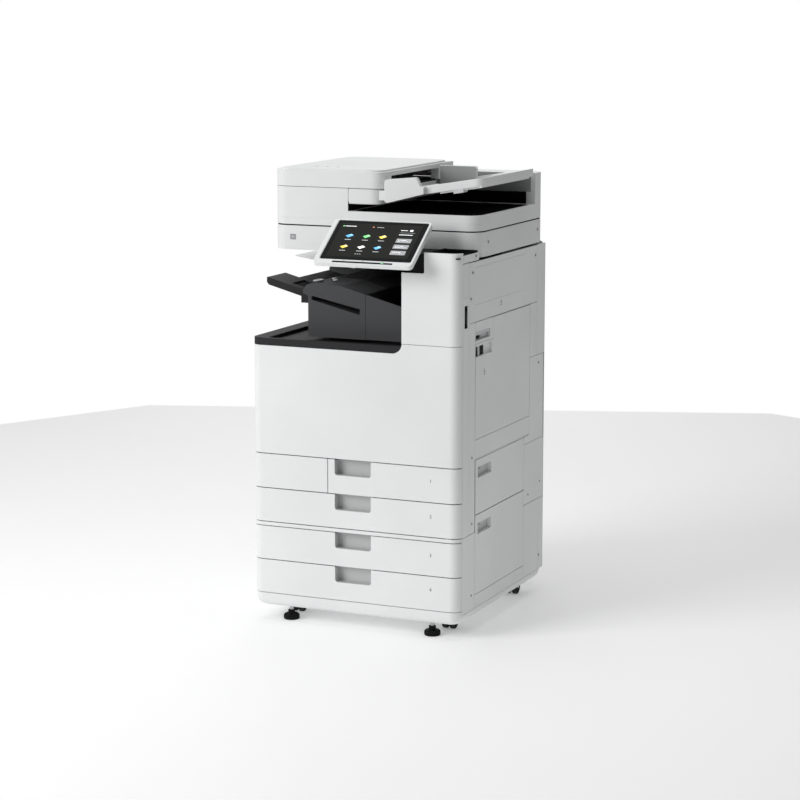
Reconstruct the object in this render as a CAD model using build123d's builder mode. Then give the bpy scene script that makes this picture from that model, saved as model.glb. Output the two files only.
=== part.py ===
from build123d import *
import os
from math import cos, radians, sin, tan

# Floor-standing office photocopier: four paper drawers, an inner stapling
# finisher, a flatbed scanner with a document feeder and a tilting touch panel.
# Sizes are in millimetres. x runs to the right, y from the front face to the
# rear and z up from the floor; heights and places below are taken from the
# middle of the front face. The part's own origin is under the middle of its
# whole box, so every plane is set back by CENTRE_X and CENTRE_Y.

os.makedirs("parts", exist_ok=True)

# ends of the whole box: upper tray tip, feeder tray edge, panel foot, rear cover
LEFT_END = -320.0
RIGHT_END = 285.0
PANEL_TILT = 35.45
PANEL_MID = (58.25, -60.0, 940.0)
PANEL_LOW = -16.0
REAR = 650.0
CENTRE_X = (LEFT_END + RIGHT_END) / 2
CENTRE_Y = (REAR + PANEL_MID[1] + PANEL_LOW * cos(radians(PANEL_TILT))) / 2

# main body
WIDTH = 565.0
HALF = WIDTH / 2
DEPTH = 582.0
CORNER_R = 26.0
WALL = 3.0
WRAP = 20.5
SIDE_FRONT = 22.0
GAP = 0.8

# heights of the seams, from the floor
PLINTH_Z = 36.0
SIDE_Z = 62.0
DRAWER_Z = [344.8, 257.8, 160.1, 72.8]
DRAWER_TOP = [432.3, 343.9, 246.2, 159.3]
MODULE_Z = 256.0
DOOR_Z = 433.5
TRAY_Z = 708.0
LIP_Z = 725.7
COLUMN_Z = 732.0
NOTCH_Z = 907.0
COLUMN_TOP = 958.0
SIDE_TOP = 931.0
SCANNER_Z = 936.0
SCANNER_TOP = 997.5
ADF_Z = 999.0
ADF_LIP = 1038.0
ADF_SEAM = 1095.0
ADF_TOP = 1140.0

# front face
DRAWER_SPLIT = -71.7
GRIP_X = (-52.5, 45.8)
GRIP_DROP = 40.0
GRIP_DEEP = 24.0
COLUMN_X = 129.0
NOTCH_X = 188.7

# paper cavity behind the column
CAVITY_REAR = 455.0
INNER_RIGHT = 236.0

# scanner and document feeder
SCANNER_Y = 123.4
SCANNER_REAR = 577.0
SCANNER_R = 40.0
FEEDER_X = -71.0
FEEDER_END = 24.0
TRAY_TILT = 9.3

# right side
RIGHT_DOOR_Y = (100.5, 475.5)
RIGHT_DOOR_Z = (441.5, 780.5)
BYPASS_Z = 488.0
BYPASS_STEP_Y = 218.0
BYPASS_STEP_Z = 727.0
SMALL_DOOR_Y = (104.5, 440.0)
SMALL_DOORS = {"middle": (299.0, 437.0), "bottom": (96.0, 297.0)}
SMALL_GRIPS = {"middle": (389.0, 417.0), "bottom": (247.0, 275.0)}

# finisher
FIN_Y = 62.0
FIN_REAR = 446.0
FIN_X = -153.0
FIN_SEAM = 5.0
FIN_RIGHT = 126.0
FIN_Z = 726.4

# feet
CASTER_X = (-211.0, 211.0)
CASTER_FRONT_Y = 105.0
CASTER_REAR_Y = 507.0
CASTER_REAR_X = (-227.0, 227.0)
WHEEL_R = 19.0
WHEEL_W = 12.0
FOOT_X = (-195.0, 195.0)
FOOT_Y = 41.0


def level(z):
    """Horizontal plane at height z; sketch x and y are the body's x and y."""
    return Plane(origin=(-CENTRE_X, -CENTRE_Y, z))


def front(y):
    """Upright plane facing the front; sketch x and y are x and z."""
    return Plane(origin=(-CENTRE_X, y - CENTRE_Y, 0), x_dir=(1, 0, 0), z_dir=(0, -1, 0))


def side(x):
    """Upright plane facing right; sketch x and y are the body's y and z."""
    return Plane(origin=(x - CENTRE_X, -CENTRE_Y, 0), x_dir=(0, 1, 0), z_dir=(1, 0, 0))


def block(x, y, z, mode=Mode.ADD):
    """A plain block between pairs of x, y and z, in the open part."""
    with BuildSketch(level(z[0])) as base:
        with Locations(((x[0] + x[1]) / 2, (y[0] + y[1]) / 2)):
            Rectangle(x[1] - x[0], y[1] - y[0])
    extrude(base.sketch, amount=z[1] - z[0], mode=mode)


def rounded_block(x, y, z, r, mode=Mode.ADD):
    """A block with upright edges rounded to r."""
    with BuildSketch(level(z[0])) as base:
        with Locations(((x[0] + x[1]) / 2, (y[0] + y[1]) / 2)):
            RectangleRounded(x[1] - x[0], y[1] - y[0], r)
    extrude(base.sketch, amount=z[1] - z[0], mode=mode)


def prism_y(points, y, mode=Mode.ADD):
    """A closed x-z outline, run from y[0] back to y[1]."""
    with BuildSketch(front(y[0])) as outline:
        with BuildLine():
            Polyline(*points, close=True)
        make_face()
    extrude(outline.sketch, amount=y[0] - y[1], mode=mode)


def prism_x(points, x, mode=Mode.ADD):
    """A closed y-z outline, run from x[0] right to x[1]."""
    with BuildSketch(side(x[0])) as outline:
        with BuildLine():
            Polyline(*points, close=True)
        make_face()
    extrude(outline.sketch, amount=x[1] - x[0], mode=mode)


def rod_x(x, y, z, r, mode=Mode.ADD):
    """A round bar along x."""
    with BuildSketch(side(x[0])) as end:
        with Locations((y, z)):
            Circle(r)
    extrude(end.sketch, amount=x[1] - x[0], mode=mode)


def rod_y(x, y, z, r, mode=Mode.ADD):
    """A round bar along y."""
    with BuildSketch(front(y[0])) as end:
        with Locations((x, z)):
            Circle(r)
    extrude(end.sketch, amount=y[0] - y[1], mode=mode)


def rod_z(x, y, z, r, mode=Mode.ADD):
    """A round bar along z."""
    with BuildSketch(level(z[0])) as end:
        with Locations((x, y)):
            Circle(r)
    extrude(end.sketch, amount=z[1] - z[0], mode=mode)


def body_outline(inset, mode=Mode.ADD):
    """The machine's plan, rounded at its front corners, less an inset."""
    with Locations((0, DEPTH / 2)):
        RectangleRounded(WIDTH - 2 * inset, DEPTH - 2 * inset, CORNER_R - inset, mode=mode)


def front_skin(x, z, wall=WALL):
    """A front panel that wraps round the body's corners to WRAP."""
    with BuildSketch(level(z[0])) as skin:
        body_outline(0)
        body_outline(wall, Mode.SUBTRACT)
        with Locations(((x[0] + x[1]) / 2, WRAP / 2)):
            Rectangle(x[1] - x[0], WRAP, mode=Mode.INTERSECT)
    extrude(skin.sketch, amount=z[1] - z[0])


def finish(piece, label):
    """Name a finished piece and write it out."""
    piece.part.label = label
    export_step(piece.part, f"parts/{label}.step")


# ------------------------------------------------------------ caster shapes
AXLE_R = 3.0
RUN_FIT = 0.05


def wheel_pair(x, y):
    """Two rims side by side on one axle."""
    for out in (-1, 1):
        middle = x + out * (WHEEL_W / 2 + 4.2)
        with BuildSketch(side(middle - WHEEL_W / 2)) as rim:
            with Locations((y, WHEEL_R)):
                Circle(WHEEL_R)
                Circle(AXLE_R + RUN_FIT, mode=Mode.SUBTRACT)
        extrude(rim.sketch, amount=WHEEL_W)


def caster_fork(x, y, trail, top):
    """The neck between the wheels, its axle and its mounting plate."""
    block((x - 3.6, x + 3.6), (y + trail - 9, y + trail + 9), (12, 40))
    block((x - 3.6, x + 3.6), (y - 9, y + trail + 9), (34, 40))
    rod_x((x - WHEEL_W - 5.5, x + WHEEL_W + 5.5), y + trail, WHEEL_R, AXLE_R)
    rod_z(x, y, (39.5, top), 20)


# ---------------------------------------------------------------- the frame
FRAME_X = 262.0
FRAME_REAR = (540.0, 546.0)
POST = 14.0
DECK = 4.0


def posts(z, xs, ys):
    """Square steel posts between two heights."""
    for x in xs:
        for y in ys:
            block((x, x + POST), (y, y + POST), z)


# cassette module: bottom plate, posts, rear plate and top rails
with BuildPart() as cassette_frame:
    block((-FRAME_X, FRAME_X), (26, 546), (64, 64 + DECK))
    posts((64, 254), (-FRAME_X, INNER_RIGHT), (26, 532))
    block((-FRAME_X, FRAME_X), FRAME_REAR, (64, 254))
    for x in (-FRAME_X, INNER_RIGHT):
        block((x, x + POST), (26, 546), (250, 254))
        block((x, x + POST), (26, 546), (162, 166))
    # fixed rear casters, bolted under the bottom plate
    for x in CASTER_REAR_X:
        caster_fork(x, CASTER_REAR_Y, 0, 65)
finish(cassette_frame, "cassette_frame")

# main unit: posts, rear plate, deck over the drawers and scanner carrier
with BuildPart() as main_frame:
    posts((256, 440), (-FRAME_X, INNER_RIGHT), (26, 532))
    block((-FRAME_X, FRAME_X), FRAME_REAR, (256, 930))
    block((-FRAME_X, INNER_RIGHT + POST), (26, 541), (436, 436 + DECK))
    for x in (-FRAME_X, INNER_RIGHT):
        block((x, x + POST), (26, 546), (256, 260))
        block((x, x + POST), (26, 546), (346, 350))
    block((-FRAME_X, -FRAME_X + DECK), (40, 541), (436, 702))
    block((-FRAME_X, 140), (430, 541), (700, 704))
    block((INNER_RIGHT, INNER_RIGHT + POST), (26, 40), (436, 930))
    block((INNER_RIGHT, INNER_RIGHT + POST), (500, 541), (436, 930))
    block((-FRAME_X, FRAME_X), (470, 546), (926, 930))
    block((140, FRAME_X - 12), (124, 546), (926, 930))
finish(main_frame, "main_frame")

# ------------------------------------------------------------ fixed covers
with BuildPart() as base_cover:
    with BuildSketch(level(PLINTH_Z)) as plan:
        body_outline(1.0)
    extrude(plan.sketch, amount=PLINTH_Z)
    under = base_cover.faces().sort_by(Axis.Z)[0]
    fillet(under.edges(), 22.0)
    block((-270, 270), (30, 560), (64, 73), Mode.SUBTRACT)
    block((-272, 272), (14, 570), (PLINTH_Z - 1, 60), Mode.SUBTRACT)
    block((-283, 283), (SIDE_FRONT, 583), (SIDE_Z, 73), Mode.SUBTRACT)
    # bosses for the casters and the adjusters, under the plate
    for x in CASTER_X:
        rod_z(x, CASTER_FRONT_Y, (46, 60), 26)
    for x in CASTER_REAR_X:
        rod_z(x, CASTER_REAR_Y, (30, 75), 21, Mode.SUBTRACT)
    for x in FOOT_X:
        rod_z(x, FOOT_Y, (40, 60), 16)
        rod_z(x, FOOT_Y, (35, 60), 5.05, Mode.SUBTRACT)
finish(base_cover, "base_cover")

with BuildPart() as left_cover:
    block((-HALF, -HALF + WALL), (SIDE_FRONT, DEPTH), (SIDE_Z, MODULE_Z - GAP))
    block((-HALF, -HALF + WALL), (SIDE_FRONT, DEPTH), (MODULE_Z, TRAY_Z - GAP))
    block((-HALF, -HALF + WALL), (CAVITY_REAR + 1, DEPTH), (TRAY_Z, SIDE_TOP))
    block((-HALF, -HALF + 18), (CAVITY_REAR + 5, CAVITY_REAR + 5 + WALL), (LIP_Z + 1, SIDE_TOP))
    # the module's top rail, across the front between drawers 2 and 3
    front_skin((-HALF, HALF), (DRAWER_TOP[2] + GAP, DRAWER_Z[1] - GAP))
finish(left_cover, "left_cover")

# rear cover: a shallow hooded box with louvres and an inlet recess
REAR_HALF = 255.0
FLANGE_GAP = 0.4
LOUVRES = 12
LOUVRE_PITCH = 9.0
INLET_X = (175, 225)
INLET_Z = (100, 145)
with BuildPart() as rear_cover:
    rounded_block((-REAR_HALF, REAR_HALF), (566, REAR), (62, 930), 18)
    block((-REAR_HALF + WALL, REAR_HALF - WALL), (560, REAR - WALL), (65, 927), Mode.SUBTRACT)
    block((-300, 300), (560, DEPTH + 2), (60, 932), Mode.SUBTRACT)
    # flange that closes the casing between the two side covers
    block((-HALF + 0.5, HALF - 0.5), (DEPTH + FLANGE_GAP, DEPTH + FLANGE_GAP + WALL), (62, 930))
    block((-REAR_HALF + 12, REAR_HALF - 12), (DEPTH, REAR - WALL), (74, 918), Mode.SUBTRACT)
    for x in (-190, 110):
        for row in range(LOUVRES):
            low = 620 + row * LOUVRE_PITCH
            block((x, x + 90), (REAR - 5, REAR + 1), (low, low + 4), Mode.SUBTRACT)
    block(INLET_X, (REAR - 5, REAR + 1), INLET_Z, Mode.SUBTRACT)
finish(rear_cover, "rear_cover")

with BuildPart() as power_inlet:
    block((INLET_X[0] + 0.5, INLET_X[1] - 0.5), (REAR - 24, REAR - 1), (INLET_Z[0] + 0.5, INLET_Z[1] - 0.5))
    block((INLET_X[0] + 10, INLET_X[1] - 10), (REAR - 16, REAR), (INLET_Z[0] + 11, INLET_Z[1] - 11),
          Mode.SUBTRACT)
    for x in (192, 200, 208):
        block((x - 1, x + 1), (REAR - 17, REAR - 4), (120, 125))
finish(power_inlet, "power_inlet")

# right side: what stays when the doors open
SWITCH_Y = (30.0, 51.0)
SWITCH_Z = (773.0, 829.0)
RIGHT_PLATES = [
    ((SIDE_FRONT, 99.3), (SIDE_Z, MODULE_Z - GAP)),
    ((SIDE_FRONT, 60.4), (MODULE_Z, SIDE_TOP)),
    ((61.2, 99.3), (MODULE_Z, 780.8)),
    ((61.2, DEPTH), (781.6, SIDE_TOP)),
    ((477.2, DEPTH), (641.8, 780.8)),
    ((477.2, DEPTH), (417.0, 641.0)),
    ((441.6, DEPTH), (MODULE_Z, 416.2)),
    ((441.6, DEPTH), (SIDE_Z, MODULE_Z - GAP)),
    ((100.1, 440.8), (SIDE_Z, 95.2)),
    ((100.1, 476.4), (437.8, 440.7)),
]
with BuildPart() as right_covers:
    for y, z in RIGHT_PLATES:
        block((HALF - WALL, HALF), y, z)
    block((HALF - 5, HALF + 1), SWITCH_Y, SWITCH_Z, Mode.SUBTRACT)
finish(right_covers, "right_covers")

with BuildPart() as front_column:
    front_skin((COLUMN_X, HALF), (COLUMN_Z, COLUMN_TOP))
    block((COLUMN_X, COLUMN_X + WALL), (4, CAVITY_REAR), (LIP_Z + 1, NOTCH_Z))
    block((COLUMN_X, COLUMN_X + WALL), (1, 5), (COLUMN_Z, NOTCH_Z))
    block((NOTCH_X, NOTCH_X + WALL), (2, 121), (NOTCH_Z - 3, COLUMN_TOP - 8))
    block((COLUMN_X, NOTCH_X + WALL), (2, 121), (NOTCH_Z - 3, NOTCH_Z))
    block((NOTCH_X, HALF - 2), (2, 121), (COLUMN_TOP - 11, COLUMN_TOP - 8))
    block((HALF - WALL, HALF), (WRAP - 1, 122), (SIDE_TOP + 1.5, COLUMN_TOP - 6))
    block((COLUMN_X - 1, NOTCH_X), (-1, WRAP + 1), (NOTCH_Z, COLUMN_TOP + 1), Mode.SUBTRACT)
finish(front_column, "front_column")

with BuildPart() as panel_mount:
    block((COLUMN_X + 0.8, NOTCH_X - 0.8), (4, 120), (NOTCH_Z + 0.6, COLUMN_TOP - 4))
    block((114, 150), (36, 60), (930, 952))
    rod_x((54, 150), 48, 941, 7)
    chamfer(panel_mount.edges().filter_by(Axis.Z).group_by(Axis.Y)[0], 2.0)
finish(panel_mount, "panel_mount")

# ------------------------------------------------- delivery cavity and tray
with BuildPart() as delivery_tray:
    with BuildSketch(level(TRAY_Z)) as plan:
        body_outline(0)
        with Locations(((COLUMN_X - HALF) / 2 - 0.4, CAVITY_REAR / 2)):
            Rectangle(COLUMN_X + HALF - 0.8, CAVITY_REAR, mode=Mode.INTERSECT)
    extrude(plan.sketch, amount=LIP_Z - TRAY_Z)
    block((-236, COLUMN_X), (14, 450), (LIP_Z - 8, LIP_Z + 1), Mode.SUBTRACT)
    block((-258, 122), (30, 445), (TRAY_Z - 1, LIP_Z - 11), Mode.SUBTRACT)
    block((-HALF + 16, 126), (CAVITY_REAR, CAVITY_REAR + 4), (TRAY_Z, 925))
finish(delivery_tray, "delivery_tray")

with BuildPart() as upper_tray:
    tilt = tan(radians(8.7))
    high = 868 + (-150 - LEFT_END) * tilt
    prism_y([(-150, 868), (LEFT_END, high), (LEFT_END, high + 2.5), (-150, 875)], (330, 452))
    block((-290, -150), (452, 454.6), (866, 905))
finish(upper_tray, "upper_tray")

# ----------------------------------------------------------------- scanner
with BuildPart() as scanner_housing:
    mid_y = (SCANNER_Y + SCANNER_REAR) / 2
    deep = SCANNER_REAR - SCANNER_Y
    with BuildSketch(level(SCANNER_Z)) as plan:
        with Locations((0, mid_y)):
            RectangleRounded(WIDTH, deep, SCANNER_R)
    extrude(plan.sketch, amount=SCANNER_TOP - SCANNER_Z)
    block((-268, 268), (142, 556), (SCANNER_Z + WALL, SCANNER_TOP - WALL), Mode.SUBTRACT)
    block((-220, 220), (160, 465), (SCANNER_TOP - WALL - 1, SCANNER_TOP + 1), Mode.SUBTRACT)
    block((-250, -232), (160, 465), (SCANNER_TOP - WALL - 1, SCANNER_TOP + 1), Mode.SUBTRACT)
    for x in (-200, 180):
        block((x, x + 20), (540, 575), (SCANNER_Z - 6, SCANNER_Z + 1))
finish(scanner_housing, "scanner_housing")

with BuildPart() as platen_glass:
    block((-219.5, 219.5), (160.5, 464.5), (SCANNER_TOP - 3.5, SCANNER_TOP + 0.2))
    block((-249.5, -232.5), (160.5, 464.5), (SCANNER_TOP - 3.5, SCANNER_TOP + 0.2))
finish(platen_glass, "platen_glass")

with BuildPart() as scan_carriage:
    block((-226, -176), (150, 548), (946, 976))
    block((-214, -188), (158, 540), (950, 977), Mode.SUBTRACT)
    rod_x((-222, -180), 153, 944.5, 4)
    block((-210, -192), (160, 470), (951, 957))
finish(scan_carriage, "scan_carriage")


# ------------------------------------------------------- doors at the front
HINGE_Y = 3.0
with BuildPart() as front_door:
    front_skin((-HALF, HALF), (DOOR_Z, TRAY_Z - GAP))
    front_skin((COLUMN_X + 0.4, HALF), (TRAY_Z - 2, COLUMN_Z - GAP))
    block((-256, 256), (2, 9), (DOOR_Z + 4, DOOR_Z + 8))
    block((-256, 256), (2, 9), (TRAY_Z - 8, TRAY_Z - 4))
    for x in (-254, -86, 86, 250):
        block((x, x + 4), (2, 9), (DOOR_Z + 4, TRAY_Z - 4))
    for x in (-200, 196):
        block((x, x + 8), (2, 16), (TRAY_Z - 20, TRAY_Z - 12))
    # hinge pins at the foot
    for x in (-258, 246):
        rod_x((x, x + 12), HINGE_Y, DOOR_Z + 5, 2)
finish(front_door, "front_door")

with BuildPart() as waste_toner_cover:
    front_skin((-HALF, DRAWER_SPLIT - 0.5), (DRAWER_Z[0], DRAWER_TOP[0]))
    block((-256, -76), (2, 8), (DRAWER_Z[0] + 3, DRAWER_Z[0] + 6))
    block((-256, -76), (2, 8), (DRAWER_TOP[0] - 6, DRAWER_TOP[0] - 3))
    rod_x((-260, -250), HINGE_Y, DRAWER_Z[0] + 5, 2)
finish(waste_toner_cover, "waste_toner_cover")


# ------------------------------------------------------------------ drawers
TRAY_DEPTH = 470.0
DRAWER_TRAY_X = [(-66, 228), (-240, 228), (-240, 228), (-240, 228)]
for number in range(4):
    low, high = DRAWER_Z[number], DRAWER_TOP[number]
    left = DRAWER_SPLIT + 0.5 if number == 0 else -HALF
    tray = DRAWER_TRAY_X[number]
    with BuildPart() as drawer:
        front_skin((left, HALF), (low, high))
        block((GRIP_X[0] - 3, GRIP_X[1] + 3), (2, GRIP_DEEP + 3), (high - GRIP_DROP - 3, high - 4))
        block(tray, (2.5, TRAY_DEPTH), (low + 6, low + 60))
        block((tray[0] + 2.5, tray[1] - 2.5), (32, TRAY_DEPTH - 2.5), (low + 9, low + 61), Mode.SUBTRACT)
        block((tray[0] + 2.5, tray[1] - 2.5), (6, 29), (low + 9, high - GRIP_DROP - 4), Mode.SUBTRACT)
        block(GRIP_X, (-1, GRIP_DEEP), (high - GRIP_DROP, high + 1), Mode.SUBTRACT)
        for x in (tray[0] - 5, tray[1]):
            block((x, x + 5), (40, TRAY_DEPTH), (low + 40, low + 46))
        # side and tail guides standing in the tray, and the lifting plate
        middle = (tray[0] + tray[1]) / 2
        for x in (middle - 128, middle + 125):
            block((x, x + 3), (150, 330), (low + 8, low + 56))
        block((middle - 30, middle + 30), (430, 434), (low + 8, low + 52))
        block((middle - 122, middle + 122), (45, 420), (low + 8, low + 12))
    finish(drawer, f"drawer_{number + 1}")


# --------------------------------------------------------------- right side
DOOR_BACK = 254.0
with BuildPart() as right_door:
    block((DOOR_BACK, HALF), RIGHT_DOOR_Y, RIGHT_DOOR_Z)
    block((DOOR_BACK + 4, 268), (106, 470), (448, 774), Mode.SUBTRACT)
    block((DOOR_BACK - 1, 260), (120, 456), (470, 752), Mode.SUBTRACT)
    block((272, HALF + 1), (100, 476), (BYPASS_Z - 1, BYPASS_STEP_Z + 1), Mode.SUBTRACT)
    block((272, HALF + 1), (BYPASS_STEP_Y - 1, 476), (BYPASS_Z - 1, 782), Mode.SUBTRACT)
    block((270, HALF + 1), (102, 198), (734, 756), Mode.SUBTRACT)
    chamfer(right_door.edges().filter_by(Axis.Z).group_by(Axis.X)[-1], 0.6)
finish(right_door, "right_door")

with BuildPart() as release_handle:
    block((271.5, 279), (104, 196), (746, 754.5))
    block((270.6, 275), (150, 196), (735, 747))
finish(release_handle, "release_handle")

BYPASS_GRIP = ((102.0, 211.0), (693.5, 720.0))
with BuildPart() as bypass_tray:
    block((273, HALF), (101.3, 474.7), (BYPASS_Z, BYPASS_STEP_Z))
    block((273, HALF), (BYPASS_STEP_Y, 474.7), (BYPASS_STEP_Z - 1, 779.7))
    block((272, 277), (130, 445), (BYPASS_Z + 16, 680), Mode.SUBTRACT)
    block((275, HALF + 1), (101, BYPASS_GRIP[0][1]), BYPASS_GRIP[1], Mode.SUBTRACT)
finish(bypass_tray, "bypass_tray")

for name, z in SMALL_DOORS.items():
    grip = SMALL_GRIPS[name]
    with BuildPart() as small_door:
        block((268, HALF), SMALL_DOOR_Y, z)
        block((267, HALF - WALL), (108, 436), (z[0] + 4, z[1] - 4), Mode.SUBTRACT)
        block((264, HALF), (118, 214), (grip[0] - 3, grip[1] + 3))
        block((267, HALF + 1), (121, 211), grip, Mode.SUBTRACT)
    finish(small_door, f"{name}_door")

with BuildPart() as power_switch:
    block((HALF - 4, HALF - 0.6), (SWITCH_Y[0] + 4, SWITCH_Y[1] - 4), (SWITCH_Z[0] + 12, SWITCH_Z[1] - 12))
finish(power_switch, "power_switch")


# ----------------------------------------------------------- document feeder
def feeder_plan(inset):
    """The feeder's plan, rounded at its front corners."""
    with Locations((0, (SCANNER_Y + SCANNER_REAR) / 2)):
        RectangleRounded(WIDTH - 2 * inset, SCANNER_REAR - SCANNER_Y - 2 * inset, SCANNER_R - inset)


COLUMN_Y = 505.0
with BuildPart() as feeder_body:
    with BuildSketch(level(ADF_Z)) as plan:
        feeder_plan(0)
    extrude(plan.sketch, amount=ADF_LIP - ADF_Z)
    with BuildSketch(level(ADF_LIP - 1)) as tall:
        feeder_plan(0)
        with Locations(((FEEDER_X - HALF) / 2, 350)):
            Rectangle(HALF + FEEDER_X, 500, mode=Mode.INTERSECT)
    extrude(tall.sketch, amount=ADF_SEAM - 0.6 - ADF_LIP + 1)
    with BuildSketch(level(ADF_LIP - 1)) as rear:
        feeder_plan(0)
        with Locations((0, (COLUMN_Y + 600) / 2)):
            Rectangle(600, 600 - COLUMN_Y, mode=Mode.INTERSECT)
    extrude(rear.sketch, amount=1117 - ADF_LIP + 1)
    block((FEEDER_X - 1, 18), (SCANNER_Y + 2, 480), (1064, ADF_SEAM - 0.6))
    block((-268, FEEDER_X - 40), (140, 560), (1044, ADF_SEAM - 6), Mode.SUBTRACT)
    block((-268, 268), (145, 490), (ADF_Z + 5, ADF_LIP - 5), Mode.SUBTRACT)
    block((-250, FEEDER_X - 30), (170, 470), (1060, ADF_SEAM), Mode.SUBTRACT)
    block((-283, FEEDER_END + 1), (COLUMN_Y - 5, 579), (ADF_SEAM - 0.6, 1120), Mode.SUBTRACT)
finish(feeder_body, "feeder_body")

with BuildPart() as platen_pad:
    block((-215, 215), (165, 460), (ADF_Z - 1.0, ADF_Z - 0.1))
finish(platen_pad, "platen_pad")

with BuildPart() as feed_cover:
    with BuildSketch(level(ADF_SEAM)) as plan:
        feeder_plan(0)
        with Locations(((FEEDER_END - HALF) / 2, 350)):
            Rectangle(HALF + FEEDER_END, 500, mode=Mode.INTERSECT)
    extrude(plan.sketch, amount=ADF_TOP - ADF_SEAM)
    fillet(feed_cover.faces().sort_by(Axis.Z)[-1].edges(), 9.0)
    block((-276, 4), (131, 570), (ADF_SEAM - 1, ADF_TOP - 4), Mode.SUBTRACT)
    block((0, FEEDER_END + 1), (170, 480), (ADF_SEAM - 1, ADF_TOP - 14), Mode.SUBTRACT)
finish(feed_cover, "feed_cover")

RISE = tan(radians(TRAY_TILT))


def under_tray(x):
    """Height of the document tray's underside."""
    return 1085 + (x - 129.6) * RISE


with BuildPart() as document_tray:
    prism_y([(32, under_tray(32)), (RIGHT_END, under_tray(RIGHT_END)), (RIGHT_END, under_tray(RIGHT_END) + 20),
             (32, under_tray(32) + 20)], (141, 494))
    fillet(document_tray.edges().filter_by(Axis.Z).group_by(Axis.X)[-1], 14.0)
    prism_y([(20, under_tray(20) + 8), (274, under_tray(274) + 8), (274, under_tray(274) + 30),
             (20, under_tray(20) + 30)], (152, 488), Mode.SUBTRACT)
    block((60, 90), (300, 324), (1050, 1150), Mode.SUBTRACT)
finish(document_tray, "document_tray")

with BuildPart() as guide_rear:
    prism_y([(45, under_tray(45) + 8.4), (149, under_tray(149) + 8.4), (149, 1128), (142, 1135),
             (50, 1135), (45, 1130)], (438, 441))
    prism_y([(60, under_tray(60) + 8.4), (140, under_tray(140) + 8.4), (140, under_tray(140) + 10),
             (60, under_tray(60) + 10)], (400, 441))
finish(guide_rear, "guide_rear")

with BuildPart() as guide_front:
    prism_y([(50, under_tray(50) + 8.4), (149, under_tray(149) + 8.4), (149, under_tray(149) + 20),
             (50, under_tray(50) + 20)], (184, 187))
    prism_y([(60, under_tray(60) + 8.4), (140, under_tray(140) + 8.4), (140, under_tray(140) + 10),
             (60, under_tray(60) + 10)], (184, 225))
finish(guide_front, "guide_front")

PICKUP = (-30.0, 1110.0)
with BuildPart() as pickup_roller:
    rod_y(PICKUP[0], (190, 430), PICKUP[1], 4)
    for y in (270, 318):
        rod_y(PICKUP[0], (y, y + 30), PICKUP[1], 12)
finish(pickup_roller, "pickup_roller")


# --------------------------------------------------------------- touch panel
PANEL_W = 261.0
PANEL_HIGH = 147.0
GLASS = (240.5, 142.5)
PANEL_THICK = 12.0


def panel_plane(out):
    """Plane of the panel's face; sketch y climbs the slope from the glass's foot."""
    rise = radians(PANEL_TILT)
    x, y, z = PANEL_MID
    return Plane(
        origin=(x - CENTRE_X, y - CENTRE_Y - out * sin(rise), z + out * cos(rise)),
        x_dir=(1, 0, 0),
        z_dir=(0, -sin(rise), cos(rise)),
    )


PIVOT_Y = 48.0
PIVOT_Z = 941.0
with BuildPart() as control_panel:
    with BuildSketch(panel_plane(-PANEL_THICK)) as face:
        with Locations((-3.5, (PANEL_LOW + PANEL_HIGH) / 2)):
            RectangleRounded(PANEL_W, PANEL_HIGH - PANEL_LOW, 10)
    extrude(face.sketch, amount=PANEL_THICK)
    with BuildSketch(panel_plane(-1.6)) as seat:
        with Locations((0, GLASS[1] / 2)):
            Rectangle(GLASS[0] + 0.6, GLASS[1] + 0.6)
    extrude(seat.sketch, amount=5, mode=Mode.SUBTRACT)
    # two ears that reach down to the pivot rod of the mount
    for x in (60, 96):
        prism_x([(30, 990), (66, 1002), (58, 936), (40, 936)], (x, x + 14))
    rod_x((50, 120), PIVOT_Y, PIVOT_Z, 7.06, Mode.SUBTRACT)
finish(control_panel, "control_panel")

with BuildPart() as touch_screen:
    with BuildSketch(panel_plane(-1.5)) as face:
        with Locations((0, GLASS[1] / 2)):
            Rectangle(*GLASS)
    extrude(face.sketch, amount=1.5)
finish(touch_screen, "touch_screen")


# ------------------------------------------------------------------ finisher
def roof(x):
    """Height of the finisher's sloping roof at its front edge."""
    return 857.4 - (x + 63.7) * 0.263


SLOT = [(-143.5, 819), (-143.5, 829.5), (-10.5, 802.2), (-11.5, 787.6)]
with BuildPart() as finisher_housing:
    prism_y([(FIN_X, FIN_Z), (FIN_SEAM - 0.5, FIN_Z), (FIN_SEAM - 0.5, roof(FIN_SEAM)), (-63.7, 857.4),
             (-140, 862), (-158, 856), (-168, 842), (-166, 834), (FIN_X, 829)], (FIN_Y, 300))
    prism_y([(FIN_SEAM - 1, FIN_Z), (FIN_RIGHT, FIN_Z), (FIN_RIGHT, roof(FIN_RIGHT)),
             (FIN_SEAM - 1, roof(FIN_SEAM))], (FIN_Y + 5, 300))
    prism_y([(FIN_X, FIN_Z), (FIN_RIGHT, FIN_Z), (FIN_RIGHT, roof(FIN_RIGHT) + 6), (-60, 862),
             (FIN_X, 862)], (299, FIN_REAR))
    prism_y([(-262, 848), (FIN_X + 1, 838), (FIN_X + 1, 862), (-262, 862)], (412, FIN_REAR))
    prism_y(SLOT, (FIN_Y - 1, FIN_Y + 60), Mode.SUBTRACT)
    block((-120, 100), (FIN_Y + 90, FIN_REAR - 30), (FIN_Z + 8, 800), Mode.SUBTRACT)
finish(finisher_housing, "finisher_housing")

with BuildPart() as finisher_cover:
    prism_y([(FIN_SEAM + 0.5, FIN_Z + 0.4), (FIN_RIGHT, FIN_Z + 0.4), (FIN_RIGHT, roof(FIN_RIGHT) - 1),
             (FIN_SEAM + 0.5, roof(FIN_SEAM) - 1)], (FIN_Y, FIN_Y + 4))
    block((FIN_RIGHT - 12, FIN_RIGHT - 8), (FIN_Y - 0.8, FIN_Y + 1), (735, 765))
finish(finisher_cover, "finisher_cover")

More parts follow.
